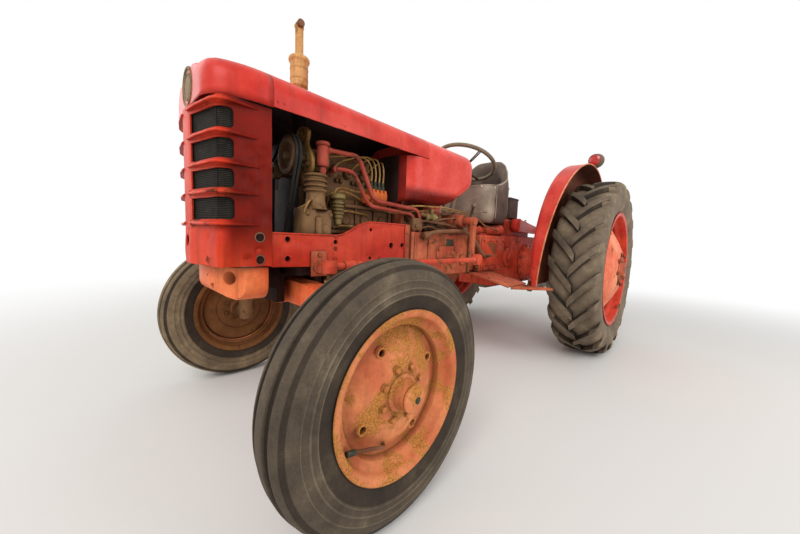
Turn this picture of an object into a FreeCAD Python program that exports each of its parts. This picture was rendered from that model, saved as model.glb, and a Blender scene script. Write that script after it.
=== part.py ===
# Farm tractor, built as separately named pieces in millimetres.
# The tractor faces minus Y, its left side is plus X, and the ground is Z = 0.
# Y is measured from the front axle while the pieces are made; SHIFT_Y then
# moves everything so that the bounding box is centred on the origin.
import FreeCAD
import Part
import math
import os

V = FreeCAD.Vector
os.makedirs("parts", exist_ok=True)

# Driving sizes
WHEELBASE = 1960.0
FRONT_TYRE_R = 347.0
FRONT_TYRE_W = 142.0
FRONT_WHEEL_X = 597.0
FRONT_RIM_R = 220.0
REAR_TYRE_R = 590.0
REAR_WALL = 205.0
REAR_TYRE_W = 287.0
REAR_WHEEL_X = 636.0
REAR_RIM_R = REAR_TYRE_R - REAR_WALL
LUG_HEIGHT = 24.0
LUGS_PER_SIDE = 20
KINGPIN_X = 480.0
SHELL_HALF_W = 205.0
BONNET_HALF_W = 220.0
NOSE_Y = -333.0
JOINT_Y = -153.0
SHEET = 4.0
RUNNING_GAP = 0.05
SPINDLE_R = 20.0
HALF_SHAFT_R = 26.0
KINGPIN_R = 20.0
EXHAUST_X = 0.0
EXHAUST_Y = 38.0
LINK_END_Y = WHEELBASE + 760.0
FIN_LIP = 4.0
LINK_EYE_R = 34.0
SHIFT_Y = -(NOSE_Y - FIN_LIP + LINK_END_Y + LINK_EYE_R) / 2.0
SIDES = (("left", 1.0), ("right", -1.0))


# Small helpers for solids
def box(x0, x1, y0, y1, z0, z1):
    return Part.makeBox(x1 - x0, y1 - y0, z1 - z0, V(x0, y0, z0))


def cyl(p, q, r):
    a = V(*p)
    d = V(*q).sub(a)
    return Part.makeCylinder(r, d.Length, a, d)


def cone(p, q, r0, r1):
    a = V(*p)
    d = V(*q).sub(a)
    return Part.makeCone(r0, r1, d.Length, a, d)


def ball(p, r):
    return Part.makeSphere(r, V(*p))


def union(shapes):
    first = shapes[0]
    if len(shapes) == 1:
        return first
    return first.fuse(shapes[1:])


def cut(shape, tools):
    return shape.cut(union(tools)) if tools else shape


def tube(points, r):
    # a round bar along straight runs with a smooth arc at every corner
    pts = [V(*p) for p in points]
    edges = []
    last = pts[0]
    for i in range(1, len(pts) - 1):
        back = pts[i - 1].sub(pts[i])
        ahead = pts[i + 1].sub(pts[i])
        room = 0.45 * min(back.Length, ahead.Length)
        back.normalize()
        ahead.normalize()
        half = back.getAngle(ahead) / 2.0
        run = min(room, 2.6 * r / math.tan(half))
        bend = run * math.tan(half)
        way = back.add(ahead)
        way.normalize()
        p1 = pts[i].add(V(back.x * run, back.y * run, back.z * run))
        p2 = pts[i].add(V(ahead.x * run, ahead.y * run, ahead.z * run))
        deep = bend / math.sin(half) - bend
        mid = pts[i].add(V(way.x * deep, way.y * deep, way.z * deep))
        edges.append(Part.makeLine(last, p1))
        edges.append(Part.Arc(p1, mid, p2).toShape())
        last = p2
    edges.append(Part.makeLine(last, pts[-1]))
    ring = Part.Wire(Part.makeCircle(r, pts[0], pts[1].sub(pts[0])))
    return Part.Wire(edges).makePipeShell([ring], True, False)


def face(points):
    wire = Part.makePolygon([V(*p) for p in points] + [V(*points[0])])
    return Part.Face(wire)


def prism_x(points, x0, x1):
    # points are (y, z)
    return face([(x0, y, z) for y, z in points]).extrude(V(x1 - x0, 0, 0))


def prism_y(points, y0, y1):
    # points are (x, z)
    return face([(x, y0, z) for x, z in points]).extrude(V(0, y1 - y0, 0))


def prism_z(points, z0, z1):
    # points are (x, y)
    return face([(x, y, z0) for x, y in points]).extrude(V(0, 0, z1 - z0))


def spun_x(points, x, y, z):
    # points are (offset along X, radius); turned about the X line through x, y, z
    f = face([(x + a, y, z + r) for a, r in points])
    return f.revolve(V(x, y, z), V(1, 0, 0), 360)


def mirrored(shape):
    return shape.mirror(V(0, 0, 0), V(1, 0, 0))


def sided(shape, sign):
    return shape if sign > 0 else mirrored(shape)


def save(name, shape):
    # touching solids of one piece stay together in one body
    out = shape.copy()
    out.translate(V(0, SHIFT_Y, 0))
    out = out.Solids[0] if len(out.Solids) == 1 else Part.makeCompound(out.Solids)
    out.exportStep("parts/" + name + ".step")


FRONT_Z = FRONT_TYRE_R
REAR_Z = REAR_TYRE_R
BORE_F = SPINDLE_R + RUNNING_GAP
BORE_R = HALF_SHAFT_R + RUNNING_GAP


# Front wheels: rim, disc and hub in one piece, tyre in another
def front_wheel():
    x, y, z = FRONT_WHEEL_X, 0.0, FRONT_Z
    r = FRONT_RIM_R
    profile = [
        (62, r), (56, r), (54, r - 16), (34, r - 20), (24, r - 42), (-24, r - 42), (-34, r - 20),
        (-54, r - 16), (-56, r), (-62, r), (-60, r - 22), (-38, r - 26), (-28, r - 48),
        (28, r - 48), (38, r - 26), (60, r - 22),
    ]
    rim = spun_x(profile, x, y, z)
    disc = spun_x([
        (10, r - 45), (10, 150), (30, 118), (40, 66), (40, BORE_F), (30, BORE_F), (30, 64),
        (21, 112), (2, 146), (2, r - 45),
    ], x, y, z)
    hub = spun_x([(-34, BORE_F), (-34, 44), (20, 52), (46, 52), (50, 40), (86, 36), (94, 30),
                  (98, 12), (98, 0), (88, 0), (88, BORE_F)], x, y, z)
    body = union([rim, disc, hub])
    holes = []
    for k in range(4):
        a = math.radians(45 + 90 * k)
        cy, cz = 128 * math.cos(a), 128 * math.sin(a)
        holes.append(cyl((x - 20, y + cy, z + cz), (x + 50, y + cy, z + cz), 15))
    return cut(body, holes)


def front_tyre():
    x, y, z = FRONT_WHEEL_X, 0.0, FRONT_Z
    r, big, h = FRONT_RIM_R, FRONT_TYRE_R, FRONT_TYRE_W / 2.0
    wall = big - r
    outer = [
        (54, r - 15.5), (55.5, r + 3), (62, r + 0.173 * wall), (h - 2, r + 0.315 * wall), (h, r + 0.472 * wall),
        (h - 3, r + 0.661 * wall), (59, big - 0.142 * wall), (57, big - 13), (46, big - 7.5), (35, big - 4.5),
        (33, big - 12), (18, big - 12), (15.5, big - 0.6), (8, big),
    ]
    left = [(-a, b) for a, b in reversed(outer)]
    inner = [(-40, r - 14), (-52, r + 0.315 * wall), (-50, r + 0.63 * wall), (-38, big - 0.173 * wall),
             (38, big - 0.173 * wall), (50, r + 0.63 * wall), (52, r + 0.315 * wall), (40, r - 14)]
    return spun_x(outer + left + inner, x, y, z)


# Rear wheels: rim with outward disc, tyre with chevron lugs
def rear_wheel():
    x, y, z = REAR_WHEEL_X, WHEELBASE, REAR_Z
    r = REAR_RIM_R
    rim = spun_x([
        (130, r), (122, r), (119, r - 20), (84, r - 25), (62, r - 46), (-62, r - 46), (-84, r - 25),
        (-119, r - 20), (-122, r), (-130, r), (-127, r - 27), (-88, r - 32), (-66, r - 53),
        (66, r - 53), (88, r - 32), (127, r - 27),
    ], x, y, z)
    disc = spun_x([
        (30, r - 50), (40, r - 75), (128, 170), (150, 118), (150, 52), (141, 52), (141, 114),
        (119, 164), (31, r - 83), (21, r - 50),
    ], x, y, z)
    hub = spun_x([(96, BORE_R), (96, 88), (141.5, 96), (154, 92), (158, 62), (172, 52), (176, 30),
                  (176, 0), (160, 0), (160, BORE_R)], x, y, z)
    return union([rim, disc, hub])


def rear_tyre():
    x, y, z = REAR_WHEEL_X, WHEELBASE, REAR_Z
    r, h = REAR_RIM_R, REAR_TYRE_W / 2.0
    base = REAR_TYRE_R - LUG_HEIGHT
    wall = base - r
    outer = [
        (119, r - 19), (121.5, r + 4), (130, r + 0.177 * wall), (h - 2, r + 0.387 * wall), (h, r + 0.552 * wall),
        (h - 10, base - 0.276 * wall), (h - 26, base - 0.122 * wall), (70, base - 4), (0, base),
    ]
    left = [(-a, b) for a, b in reversed(outer[:-1])]
    inner = [(-100, r - 18), (-122, r + 0.387 * wall), (-110, base - 0.304 * wall), (0, base - 0.166 * wall),
             (110, base - 0.304 * wall), (122, r + 0.387 * wall), (100, r - 18)]
    body = spun_x(outer + left + inner, x, y, z)
    lugs = []
    step = 360.0 / LUGS_PER_SIDE
    for side in (1, -1):
        # one bar: flat sided solid from the middle of the tread to the shoulder
        xs = (-6.0, 60.0, 112.0, h - 6.0)
        spread = (0.0, 6.5, 12.0, 15.5)
        tops = (REAR_TYRE_R, REAR_TYRE_R - 2.0, REAR_TYRE_R - 9.0, REAR_TYRE_R - 40.0)
        foots = (base - 12.0, base - 14.0, base - 24.0, base - 0.365 * wall)
        half = (1.5, 1.6, 1.7, 1.8)
        wires = []
        for a, s, t, fo, w in zip(xs, spread, tops, foots, half):
            pts = []
            for rr, dw in ((fo, w + 0.35), (t, w), (t, -w), (fo, -w - 0.35)):
                ang = math.radians(s + dw)
                pts.append(V(a * side, -rr * math.cos(ang), rr * math.sin(ang)))
            wires.append(Part.makePolygon(pts + [pts[0]]))
        bar = Part.makeLoft(wires, True, True)
        offset = 0.0 if side > 0 else step / 2.0
        for k in range(LUGS_PER_SIDE):
            one = bar.copy()
            one.rotate(V(0, 0, 0), V(1, 0, 0), step * k + offset)
            one.translate(V(x, y, z))
            lugs.append(one)
    return body.fuse(lugs)


for side, sign in SIDES:
    save("front_wheel_" + side, sided(front_wheel(), sign))
    save("front_tyre_" + side, sided(front_tyre(), sign))
    save("rear_wheel_" + side, sided(rear_wheel(), sign))
    save("rear_tyre_" + side, sided(rear_tyre(), sign))

# Front axle: one beam with the two kingpin sleeves, held by the centre pin
AXLE_Z = 520.0
SLEEVE_Z0 = 440.0
SLEEVE_Z1 = 590.0
beam = [(-430, 478), (-150, 492), (150, 492), (430, 478), (430, 552), (150, 576), (-150, 576),
        (-430, 552)]
axle = [prism_y(beam, -34, 34), cyl((0, -52, AXLE_Z + 12), (0, 52, AXLE_Z + 12), 52)]
for side, sign in SIDES:
    axle.append(box(min(sign * 420, sign * 470), max(sign * 420, sign * 470), -30, 30, 478, 552))
    axle.append(cyl((sign * KINGPIN_X, 0, SLEEVE_Z0), (sign * KINGPIN_X, 0, SLEEVE_Z1), 36))
axle = union(axle)
axle = cut(axle, [
    cyl((KINGPIN_X, 0, SLEEVE_Z0 - 5), (KINGPIN_X, 0, SLEEVE_Z1 + 5), KINGPIN_R + RUNNING_GAP),
    cyl((-KINGPIN_X, 0, SLEEVE_Z0 - 5), (-KINGPIN_X, 0, SLEEVE_Z1 + 5), KINGPIN_R + RUNNING_GAP),
    cyl((0, -60, AXLE_Z + 12), (0, 60, AXLE_Z + 12), 19.6),
])
save("front_axle", axle)

# Steering knuckles: kingpin, spindle and arms
ARM_Z = 612.0
BALL_Z = 650.0
DRAG_X = 340.0
DRAG_Y = -30.0
TIE_Y = 125.0
TIE_Z = 417.0
TIE_ROD_Z = 452.0


def knuckle(sign):
    kx = KINGPIN_X
    s = [
        cyl((kx, 0, FRONT_Z - 29), (kx, 0, SLEEVE_Z1 + 12), KINGPIN_R),
        cyl((kx, 0, FRONT_Z - 35), (kx, 0, SLEEVE_Z0 - 1), 33),
        cyl((kx, 0, FRONT_Z), (kx + 74, 0, FRONT_Z), 30),
        cyl((kx, 0, FRONT_Z), (FRONT_WHEEL_X + 80, 0, FRONT_Z), SPINDLE_R),
        cyl((kx, 0, SLEEVE_Z1 + 1), (kx, 0, SLEEVE_Z1 + 16), 32),
        prism_z([(kx - 26, 0), (kx + 26, 0), (kx + 15, TIE_Y), (kx - 15, TIE_Y)], TIE_Z - 11, TIE_Z + 9),
        cyl((kx, TIE_Y, TIE_Z - 13), (kx, TIE_Y, TIE_Z + 13), 16),
        cyl((kx, TIE_Y, TIE_Z), (kx, TIE_Y, TIE_ROD_Z + 4), 8),
    ]
    if sign > 0:
        z0, z1 = SLEEVE_Z1 + 1, SLEEVE_Z1 + 17
        s.append(cyl((kx, 0, z0), (kx, 0, z1 + 12), 30))
        s.append(prism_z([(kx, 30), (kx, -30), (DRAG_X, DRAG_Y - 15), (DRAG_X, DRAG_Y + 15)], z0 + 1, z1))
        s.append(cyl((DRAG_X, DRAG_Y, z0), (DRAG_X, DRAG_Y, z1 + 1), 17))
        s.append(cyl((DRAG_X, DRAG_Y, z1), (DRAG_X, DRAG_Y, BALL_Z + 4), 9))
    return union(s)


for side, sign in SIDES:
    save("knuckle_" + side, sided(knuckle(sign), sign))

# Tie rod across the two rear arms, one socket over each upright pin
tie = [cyl((-KINGPIN_X + 16, TIE_Y, TIE_ROD_Z), (KINGPIN_X - 16, TIE_Y, TIE_ROD_Z), 13)]
drill = []
for side, sign in SIDES:
    tie.append(cyl((sign * KINGPIN_X, TIE_Y, TIE_Z + 16), (sign * KINGPIN_X, TIE_Y, TIE_ROD_Z + 18), 21))
    drill.append(cyl((sign * KINGPIN_X, TIE_Y, TIE_Z), (sign * KINGPIN_X, TIE_Y, TIE_ROD_Z + 5), 8 + RUNNING_GAP))
save("tie_rod", cut(union(tie), drill))

# Drop arm on the steering box, and the drag link forward to the left knuckle
DROP_X = 290.0
DROP_Y = 880.0
DROP_TOP_Z = 852.0
CUP_R = 29.0
drop = union([
    cyl((DROP_X - 55, DROP_Y, DROP_TOP_Z), (DROP_X + 12, DROP_Y, DROP_TOP_Z), 22),
    prism_x([(DROP_Y - 21, DROP_TOP_Z), (DROP_Y + 21, DROP_TOP_Z), (DROP_Y + 13, BALL_Z),
             (DROP_Y - 13, BALL_Z)], DROP_X - 8, DROP_X + 8),
    cyl((DROP_X - 8, DROP_Y, BALL_Z), (DROP_X + 9, DROP_Y, BALL_Z), 15),
    cyl((DROP_X + 8, DROP_Y, BALL_Z), (DROP_X + 40, DROP_Y, BALL_Z), 7.5),
])
save("drop_arm", drop)

CUP_X0 = DROP_X + 15
CUP_X1 = DROP_X + 50
rear_end = V(CUP_X1 - 14, DROP_Y - 26, BALL_Z)
front_end = V(DRAG_X, DRAG_Y + 18, BALL_Z)
cup = cyl((CUP_X0, DROP_Y, BALL_Z), (CUP_X1, DROP_Y, BALL_Z), CUP_R)
cup = cup.cut(cyl((CUP_X0 - 5, DROP_Y, BALL_Z), (CUP_X1 - 4, DROP_Y, BALL_Z), CUP_R - 4))
eye = cyl((DRAG_X, DRAG_Y, BALL_Z - 22), (DRAG_X, DRAG_Y, BALL_Z + 18), 22)
eye = eye.cut(cyl((DRAG_X, DRAG_Y, BALL_Z - 30), (DRAG_X, DRAG_Y, BALL_Z + 6), 9 + RUNNING_GAP))
drag = union([cyl((rear_end.x, rear_end.y, rear_end.z), (front_end.x, front_end.y, front_end.z), 12), cup, eye])
save("drag_link", drag)

# Grille shell: bent sheet with windows and five fins a side
SHELL_Z0 = 645.0
SHELL_Z1 = 1118.0
FIN_Z = (1104.0, 1021.0, 939.0, 859.0, 770.0)
W = SHELL_HALF_W


def shell_outline(w, front, back):
    right = [(35, front), (w - 32, front + 30), (w - 9, front + 38), (w, front + 62), (w, back)]
    return right + [(-x, y) for x, y in reversed(right)]


outer = prism_z(shell_outline(W, NOSE_Y, JOINT_Y), SHELL_Z0, SHELL_Z1)
hollow = prism_z(shell_outline(W - SHEET, NOSE_Y + SHEET, JOINT_Y + 10), SHELL_Z0 - 5, SHELL_Z1 + 5)
shell = outer.cut(hollow)
windows = []
for upper, lower in zip(FIN_Z, FIN_Z[1:]):
    z0, z1 = lower + 14, upper - 20
    for side, sign in SIDES:
        w0, w1 = sorted((sign * 48, sign * (W + 20)))
        block = box(w0, w1, NOSE_Y - 20, NOSE_Y + 74, z0, z1)
        edges = [e for e in block.Edges if abs(e.tangentAt(0).z) < 0.1 and abs(e.tangentAt(0).y) > 0.9]
        windows.append(block.makeFillet(12, edges))
windows.append(cyl((0, NOSE_Y - 20, 716), (0, NOSE_Y + 20, 716), 19))
for z in (722.0, 664.0):
    windows.append(cyl((-W - 20, -190, z), (W + 20, -190, z), 11))
shell = shell.cut(union(windows))
fins = []
for z in FIN_Z:
    for side, sign in SIDES:
        plan = [(38, NOSE_Y - FIN_LIP), (110, NOSE_Y + 2), (W + 8, NOSE_Y + 36), (W + 15, NOSE_Y + 52),
                (W + 12, NOSE_Y + 90), (W - 2, NOSE_Y + 142), (W - 3, NOSE_Y + 62),
                (W - 12, NOSE_Y + 40), (W - 34, NOSE_Y + 32), (38, NOSE_Y + 2)]
        plan = [(sign * x, y) for x, y in plan]
        fins.append(prism_z(plan, z - 7, z))
save("grille_shell", shell.fuse(fins))

# Bonnet section, the nose cap in front of it and the tank cowl behind
CAP_TOP = 1240.0
COWL_TOP = 1224.0
SKIRT_Z = 1122.0


def hood_wire(y, w, top, low, inset):
    # straight sides, a large rounded shoulder and a lightly crowned top
    w = w - inset
    t = top - inset
    side_z = top - 78
    shoulder_x = w - 76
    mid_x = w - 20 + inset * 0.3
    mid_z = top - 24 - inset * 0.7
    right = [
        Part.makeLine(V(w, y, low), V(w, y, side_z)),
        Part.Arc(V(w, y, side_z), V(mid_x, y, mid_z), V(shoulder_x, y, t - 3)).toShape(),
        Part.Arc(V(shoulder_x, y, t - 3), V(0, y, t), V(-shoulder_x, y, t - 3)).toShape(),
        Part.Arc(V(-shoulder_x, y, t - 3), V(-mid_x, y, mid_z), V(-w, y, side_z)).toShape(),
        Part.makeLine(V(-w, y, side_z), V(-w, y, low)),
        Part.makeLine(V(-w, y, low), V(w, y, low)),
    ]
    return Part.Wire(right)


def hood_solid(y0, y1, top0, top1, low, inset):
    a = hood_wire(y0, BONNET_HALF_W, top0, low, inset)
    b = hood_wire(y1, BONNET_HALF_W, top1, low, inset)
    return Part.makeLoft([a, b], True, True)


def cap_plan(inset):
    w = BONNET_HALF_W - inset + 30
    f = NOSE_Y + 8 + inset
    p = [(70, f), (130, f + 12), (178 - inset * 0.6, f + 38), (205 - inset * 0.8, f + 78),
         (BONNET_HALF_W - inset, f + 130), (w, f + 140)]
    return p


def cap_body(inset):
    hood = hood_solid(NOSE_Y - 20, JOINT_Y, CAP_TOP, CAP_TOP, SKIRT_Z - 4 + inset, inset)
    half = cap_plan(inset)
    back = JOINT_Y + 40
    right = half + [(half[-1][0], back)]
    plan = right + [(-x, y) for x, y in reversed(right)]
    return hood.common(prism_z(plan, 1050, 1300))


cap = cap_body(0.0).cut(cap_body(SHEET))
badge = cyl((0, NOSE_Y + 1, 1182), (0, NOSE_Y + 12, 1182), 57)
save("nose_cap", cap.fuse(badge))

BONNET_END_Y = 575.0
SLOPE = (CAP_TOP - COWL_TOP) / (990.0 - JOINT_Y)
end_top = CAP_TOP - SLOPE * (BONNET_END_Y - JOINT_Y)
bonnet = hood_solid(JOINT_Y + 0.3, BONNET_END_Y, CAP_TOP, end_top, SKIRT_Z, 0.0)
bonnet = bonnet.cut(hood_solid(JOINT_Y - 20, BONNET_END_Y + 20, CAP_TOP, end_top, SKIRT_Z - 20, SHEET))
bonnet = bonnet.cut(cyl((EXHAUST_X, EXHAUST_Y, 1100), (EXHAUST_X, EXHAUST_Y, 1300), 30))
save("bonnet", bonnet)

# Fuel tank with the cowl that carries on the bonnet's line
TANK_Y0 = 385.0
TANK_Y1 = 985.0
TANK_Z0 = 925.0
TANK_HALF_W = BONNET_HALF_W - 0.5
tank = box(-TANK_HALF_W, TANK_HALF_W, TANK_Y0, BONNET_END_Y + 60, TANK_Z0, SKIRT_Z - 4)
low = [e for e in tank.Edges if abs(e.tangentAt(0).y) > 0.9 and e.CenterOfMass.z < 1000]
up = [e for e in tank.Edges if abs(e.tangentAt(0).z) > 0.9 and e.CenterOfMass.y < 500]
tank = tank.makeFillet(46, low + up)
tank = tank.fuse(box(-TANK_HALF_W + 10, TANK_HALF_W - 10, TANK_Y0 + 46, BONNET_END_Y + 60, SKIRT_Z - 5, 1148))
cowl = hood_solid(BONNET_END_Y, TANK_Y1, end_top - 0.5, COWL_TOP, TANK_Z0, 0.0)
back = [e for e in cowl.Edges if abs(e.CenterOfMass.y - TANK_Y1) < 1.0]
bottom = [e for e in cowl.Edges if e.CenterOfMass.z < TANK_Z0 + 1 and abs(e.tangentAt(e.FirstParameter).y) > 0.9]
cowl = cowl.makeFillet(46, bottom)
back = [e for e in cowl.Edges if abs(e.CenterOfMass.y - TANK_Y1) < 1.0]
try:
    cowl = cowl.makeFillet(38, back)
except Exception:
    cowl = cowl.makeChamfer(30, back)
save("tank_cowl", tank.fuse(cowl))

# Radiator and its frame inside the shell
rad = [
    box(-168, 168, -292, -232, 672, 1060),
    box(-176, 176, -296, -224, 1060, 1112),
    box(-176, 176, -296, -224, 652, 672),
    cyl((0, -262, 1111), (0, -262, 1117), 24),
    box(-W + SHEET, -168, -262, -240, 660, 1100),
    box(168, W - SHEET, -262, -240, 660, 1100),
]
save("radiator", union(rad))

# Front frame: two side plates with the raised rear part, cross member and axle bracket
RAIL_X0 = 188.0
RAIL_X1 = SHELL_HALF_W - SHEET
RAIL_END_Y = 455.0
rail = [(-215, 655), (-215, 745), (-150, 750), (90, 750), (125, 758), (165, 780), (205, 800), (246, 810),
        (RAIL_END_Y, 810), (RAIL_END_Y, 594), (330, 628), (-150, 640)]
frame = []
for side, sign in SIDES:
    x0, x1 = sorted((sign * RAIL_X0, sign * RAIL_X1))
    plate = prism_x(rail, x0, x1)
    drill = []
    for y, z, r in ((-101, 730, 9), (-101, 666, 9), (82, 724, 8), (249, 777, 7), (364, 715, 12), (433, 716, 10),
                    (248, 662, 6), (391, 655, 6)):
        drill.append(cyl((sign * 170, y, z), (sign * 215, y, z), r))
    frame.append(plate.cut(union(drill)))
    b0, b1 = sorted((sign * (RAIL_X1 - 1), sign * (RAIL_X1 + 7)))
    frame.append(box(b0, b1, -14, 38, 608, 690))
frame.append(box(-RAIL_X0 - 1, RAIL_X0 + 1, -150, -66, 640, 652))
frame.append(box(-RAIL_X0 - 1, RAIL_X0 + 1, -150, -138, 640, 700))
frame.append(box(-RAIL_X0 - 1, RAIL_X0 + 1, -62, -12, 606, 640))
frame.append(box(-95, 95, -90, 90, 592, 606))
frame.append(box(-90, 90, -90, -60, 500, 600))
frame.append(box(-90, 90, 60, 90, 500, 600))
frame = union(frame)
frame = frame.fuse(cyl((0, -89, AXLE_Z + 12), (0, 89, AXLE_Z + 12), 19.5))
save("front_frame", frame)

# Front weight under the shell: a bowed front with rounded lower edges
WEIGHT_BOW = 74.0
WEIGHT_HALF_W = 190.0
WEIGHT_Y0 = NOSE_Y + 33.0
WEIGHT_Y1 = NOSE_Y + 175.0
WEIGHT_Z0 = 536.0
WEIGHT_Z1 = 640.0


def corner(cx, cz, r, a0, a1):
    # a quarter round as six short straight runs
    points = []
    for k in range(7):
        a = math.radians(a0 + (a1 - a0) * k / 6)
        points.append((cx + r * math.cos(a), cz + r * math.sin(a)))
    return points


bow = []
for k in range(17):
    x = WEIGHT_HALF_W * (k / 8.0 - 1.0)
    bow.append((x, WEIGHT_Y0 + WEIGHT_BOW * (x / WEIGHT_HALF_W) ** 2))
weight = prism_z(bow + [(WEIGHT_HALF_W, WEIGHT_Y1), (-WEIGHT_HALF_W, WEIGHT_Y1)], WEIGHT_Z0, WEIGHT_Z1)
side_face = corner(WEIGHT_Y0 + 76, WEIGHT_Z0 + 76, 76, 180, 270)
weight = weight.common(prism_x(side_face + [(WEIGHT_Y1, WEIGHT_Z0), (WEIGHT_Y1, WEIGHT_Z1), (WEIGHT_Y0, WEIGHT_Z1)],
                               -WEIGHT_HALF_W, WEIGHT_HALF_W))
front_face = corner(-WEIGHT_HALF_W + 46, WEIGHT_Z0 + 46, 46, 180, 270)
front_face += corner(WEIGHT_HALF_W - 46, WEIGHT_Z0 + 46, 46, 270, 360)
weight = weight.common(prism_y(front_face + [(WEIGHT_HALF_W, WEIGHT_Z1), (-WEIGHT_HALF_W, WEIGHT_Z1)],
                               WEIGHT_Y0 - 5, WEIGHT_Y1 + 5))
weight = cut(weight, [cyl((141, WEIGHT_Y0 - 10, 606), (141, WEIGHT_Y0 + 74, 606), 20),
                      cyl((-141, WEIGHT_Y0 - 10, 606), (-141, WEIGHT_Y0 + 74, 606), 20)])
weight = cut(weight, [box(66, 82, WEIGHT_Y0 - 5, WEIGHT_Y0 + 50, 556, 584),
                      box(-82, -66, WEIGHT_Y0 - 5, WEIGHT_Y0 + 50, 556, 584)])
weight = weight.fuse(box(-120, 120, -160, -91, 560, 640))
save("front_weight", weight)

# Engine: plain block, head, cover, sump and timing case
ENGINE_X0 = -130.0
ENGINE_X1 = 105.0
CRANK_Z = 702.0
HEAD_Z0 = 900.0
engine = [
    box(ENGINE_X0, ENGINE_X1, 10, 450, 606, HEAD_Z0),
    box(-112, 50, 14, 372, HEAD_Z0 - 1, 1030),
    box(-90, 38, 8, 366, 1029, 1085),
    box(-105, 100, 112, 440, 500, 607),
    box(-116, 96, -10, 12, 652, 925),
    box(-RAIL_X0, RAIL_X0, 438, 462, 594, 812),
    box(-160, -111, 30, 370, 930, 1000),
    box(49, ENGINE_X1, 102, 126, 982, 1018),
    box(-60, 60, 390, 430, HEAD_Z0 - 1, TANK_Z0),
    cyl((0, -44, CRANK_Z), (0, -8, CRANK_Z), 23.6),
    cyl((-14, -34, 985), (-14, 16, 985), 20),
]
save("engine", union(engine))

# Dynamo with its bracket and pulley
DYN_X = 100.0
DYN_Z = 1022.0
save("dynamo", union([
    cyl((DYN_X, -62, DYN_Z), (DYN_X, -56, DYN_Z), 66),
    cyl((DYN_X, -57, DYN_Z), (DYN_X, -39, DYN_Z), 61),
    cyl((DYN_X, -40, DYN_Z), (DYN_X, -34, DYN_Z), 66),
    cyl((DYN_X, -35, DYN_Z), (DYN_X, 10, DYN_Z), 15),
    cyl((DYN_X, 8, DYN_Z), (DYN_X, 96, DYN_Z), 36),
    box(58, 82, 12, 34, HEAD_Z0, 1000),
    box(DYN_X - 14, DYN_X + 12, 0, 9, 990, 1108),
]))

# Fan, its pulley and the crank pulley, and the twin belts round all three pulleys
FAN_X = -14.0
FAN_Z = 985.0
fan = [cyl((FAN_X, -168, FAN_Z), (FAN_X, -134, FAN_Z), 32), cyl((FAN_X, -135, FAN_Z), (FAN_X, -34, FAN_Z), 12),
       cyl((FAN_X, -62, FAN_Z), (FAN_X, -34, FAN_Z), 30)]
for k in range(4):
    blade = box(-28, 28, -2, 2, 22, 150)
    blade.rotate(V(0, 0, 90), V(0, 0, 1), 26)
    blade.rotate(V(0, 0, 0), V(0, 1, 0), 45 + 90 * k)
    blade.translate(V(FAN_X, -151, FAN_Z))
    fan.append(blade)
crank = cyl((0, -62, CRANK_Z), (0, -34, CRANK_Z), 52).cut(cyl((0, -44, CRANK_Z), (0, -20, CRANK_Z), 24))
save("fan_and_pulleys", Part.makeCompound([union(fan), crank]))


def hull(points):
    pts = sorted(set(points))
    rows = []
    for seq in (pts, pts[::-1]):
        out = []
        for p in seq:
            while len(out) > 1 and ((out[-1][0] - out[-2][0]) * (p[1] - out[-2][1])
                                    - (out[-1][1] - out[-2][1]) * (p[0] - out[-2][0])) <= 0:
                out.pop()
            out.append(p)
        rows.append(out[:-1])
    return rows[0] + rows[1]


def belt_outline(extra):
    pts = []
    for x, z, r in ((DYN_X, DYN_Z, 66.3), (FAN_X, FAN_Z, 30.3), (0.0, CRANK_Z, 52.3)):
        for k in range(24):
            a = 2 * math.pi * k / 24.0
            pts.append((round(x + (r + extra) * math.cos(a) / math.cos(math.pi / 24), 3),
                        round(z + (r + extra) * math.sin(a) / math.cos(math.pi / 24), 3)))
    return hull(pts)


belts = []
for y0, y1 in ((-60, -50), (-46, -36)):
    belts.append(prism_y(belt_outline(7.0), y0, y1).cut(prism_y(belt_outline(0.0), y0 - 1, y1 + 1)))
save("belts", Part.makeCompound(belts))

# Air compressor beside the block: finned cylinder over its case
COMP_X = 154.5
COMP_X1 = RAIL_X0 - 2.0
COMP_TOP_Z = 963.0
case = box(ENGINE_X1, COMP_X1, -34, 84, 712, 842)
case = case.makeFillet(26, [e for e in case.Edges if e.CenterOfMass.x > COMP_X1 - 1 and abs(e.tangentAt(0).x) < 0.1])
comp = [
    case,
    cyl((COMP_X1 - 22, 4, 735), (COMP_X1 - 22, 4, 846), 20),
    box(ENGINE_X1, COMP_X1, -40, 90, 690, 713),
    cone((COMP_X, 25, 838), (COMP_X, 25, 893), 40, 32),
    cyl((COMP_X, 25, 892), (COMP_X, 25, COMP_TOP_Z), 32),
]
for z in (900, 917, 934, COMP_TOP_Z - 9):
    comp.append(cyl((COMP_X, 25, z), (COMP_X, 25, z + 8), 41))
save("air_compressor", union(comp))

# Fuel side: upright filters and the injection pump
gear = [
    [cyl((158, 118, 790), (158, 118, 890), 26), cyl((158, 118, 889), (158, 118, 905), 34),
     box(ENGINE_X1, 140, 106, 130, 862, 900)],
    [cyl((158, 50, COMP_TOP_Z), (158, 50, 995), 12), cyl((158, 50, 994), (158, 50, 1070), 21),
     cyl((158, 50, 1069), (158, 50, 1079), 24)],
    [box(ENGINE_X1, 160, 284, 374, 880, 950), cyl((134, 258, 908), (134, 285, 908), 19)]
    + [cyl((138, 296 + 22 * k, 949), (138, 296 + 22 * k, 974), 8) for k in range(4)],
]
save("fuel_gear", Part.makeCompound([union(g) for g in gear]))

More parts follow.
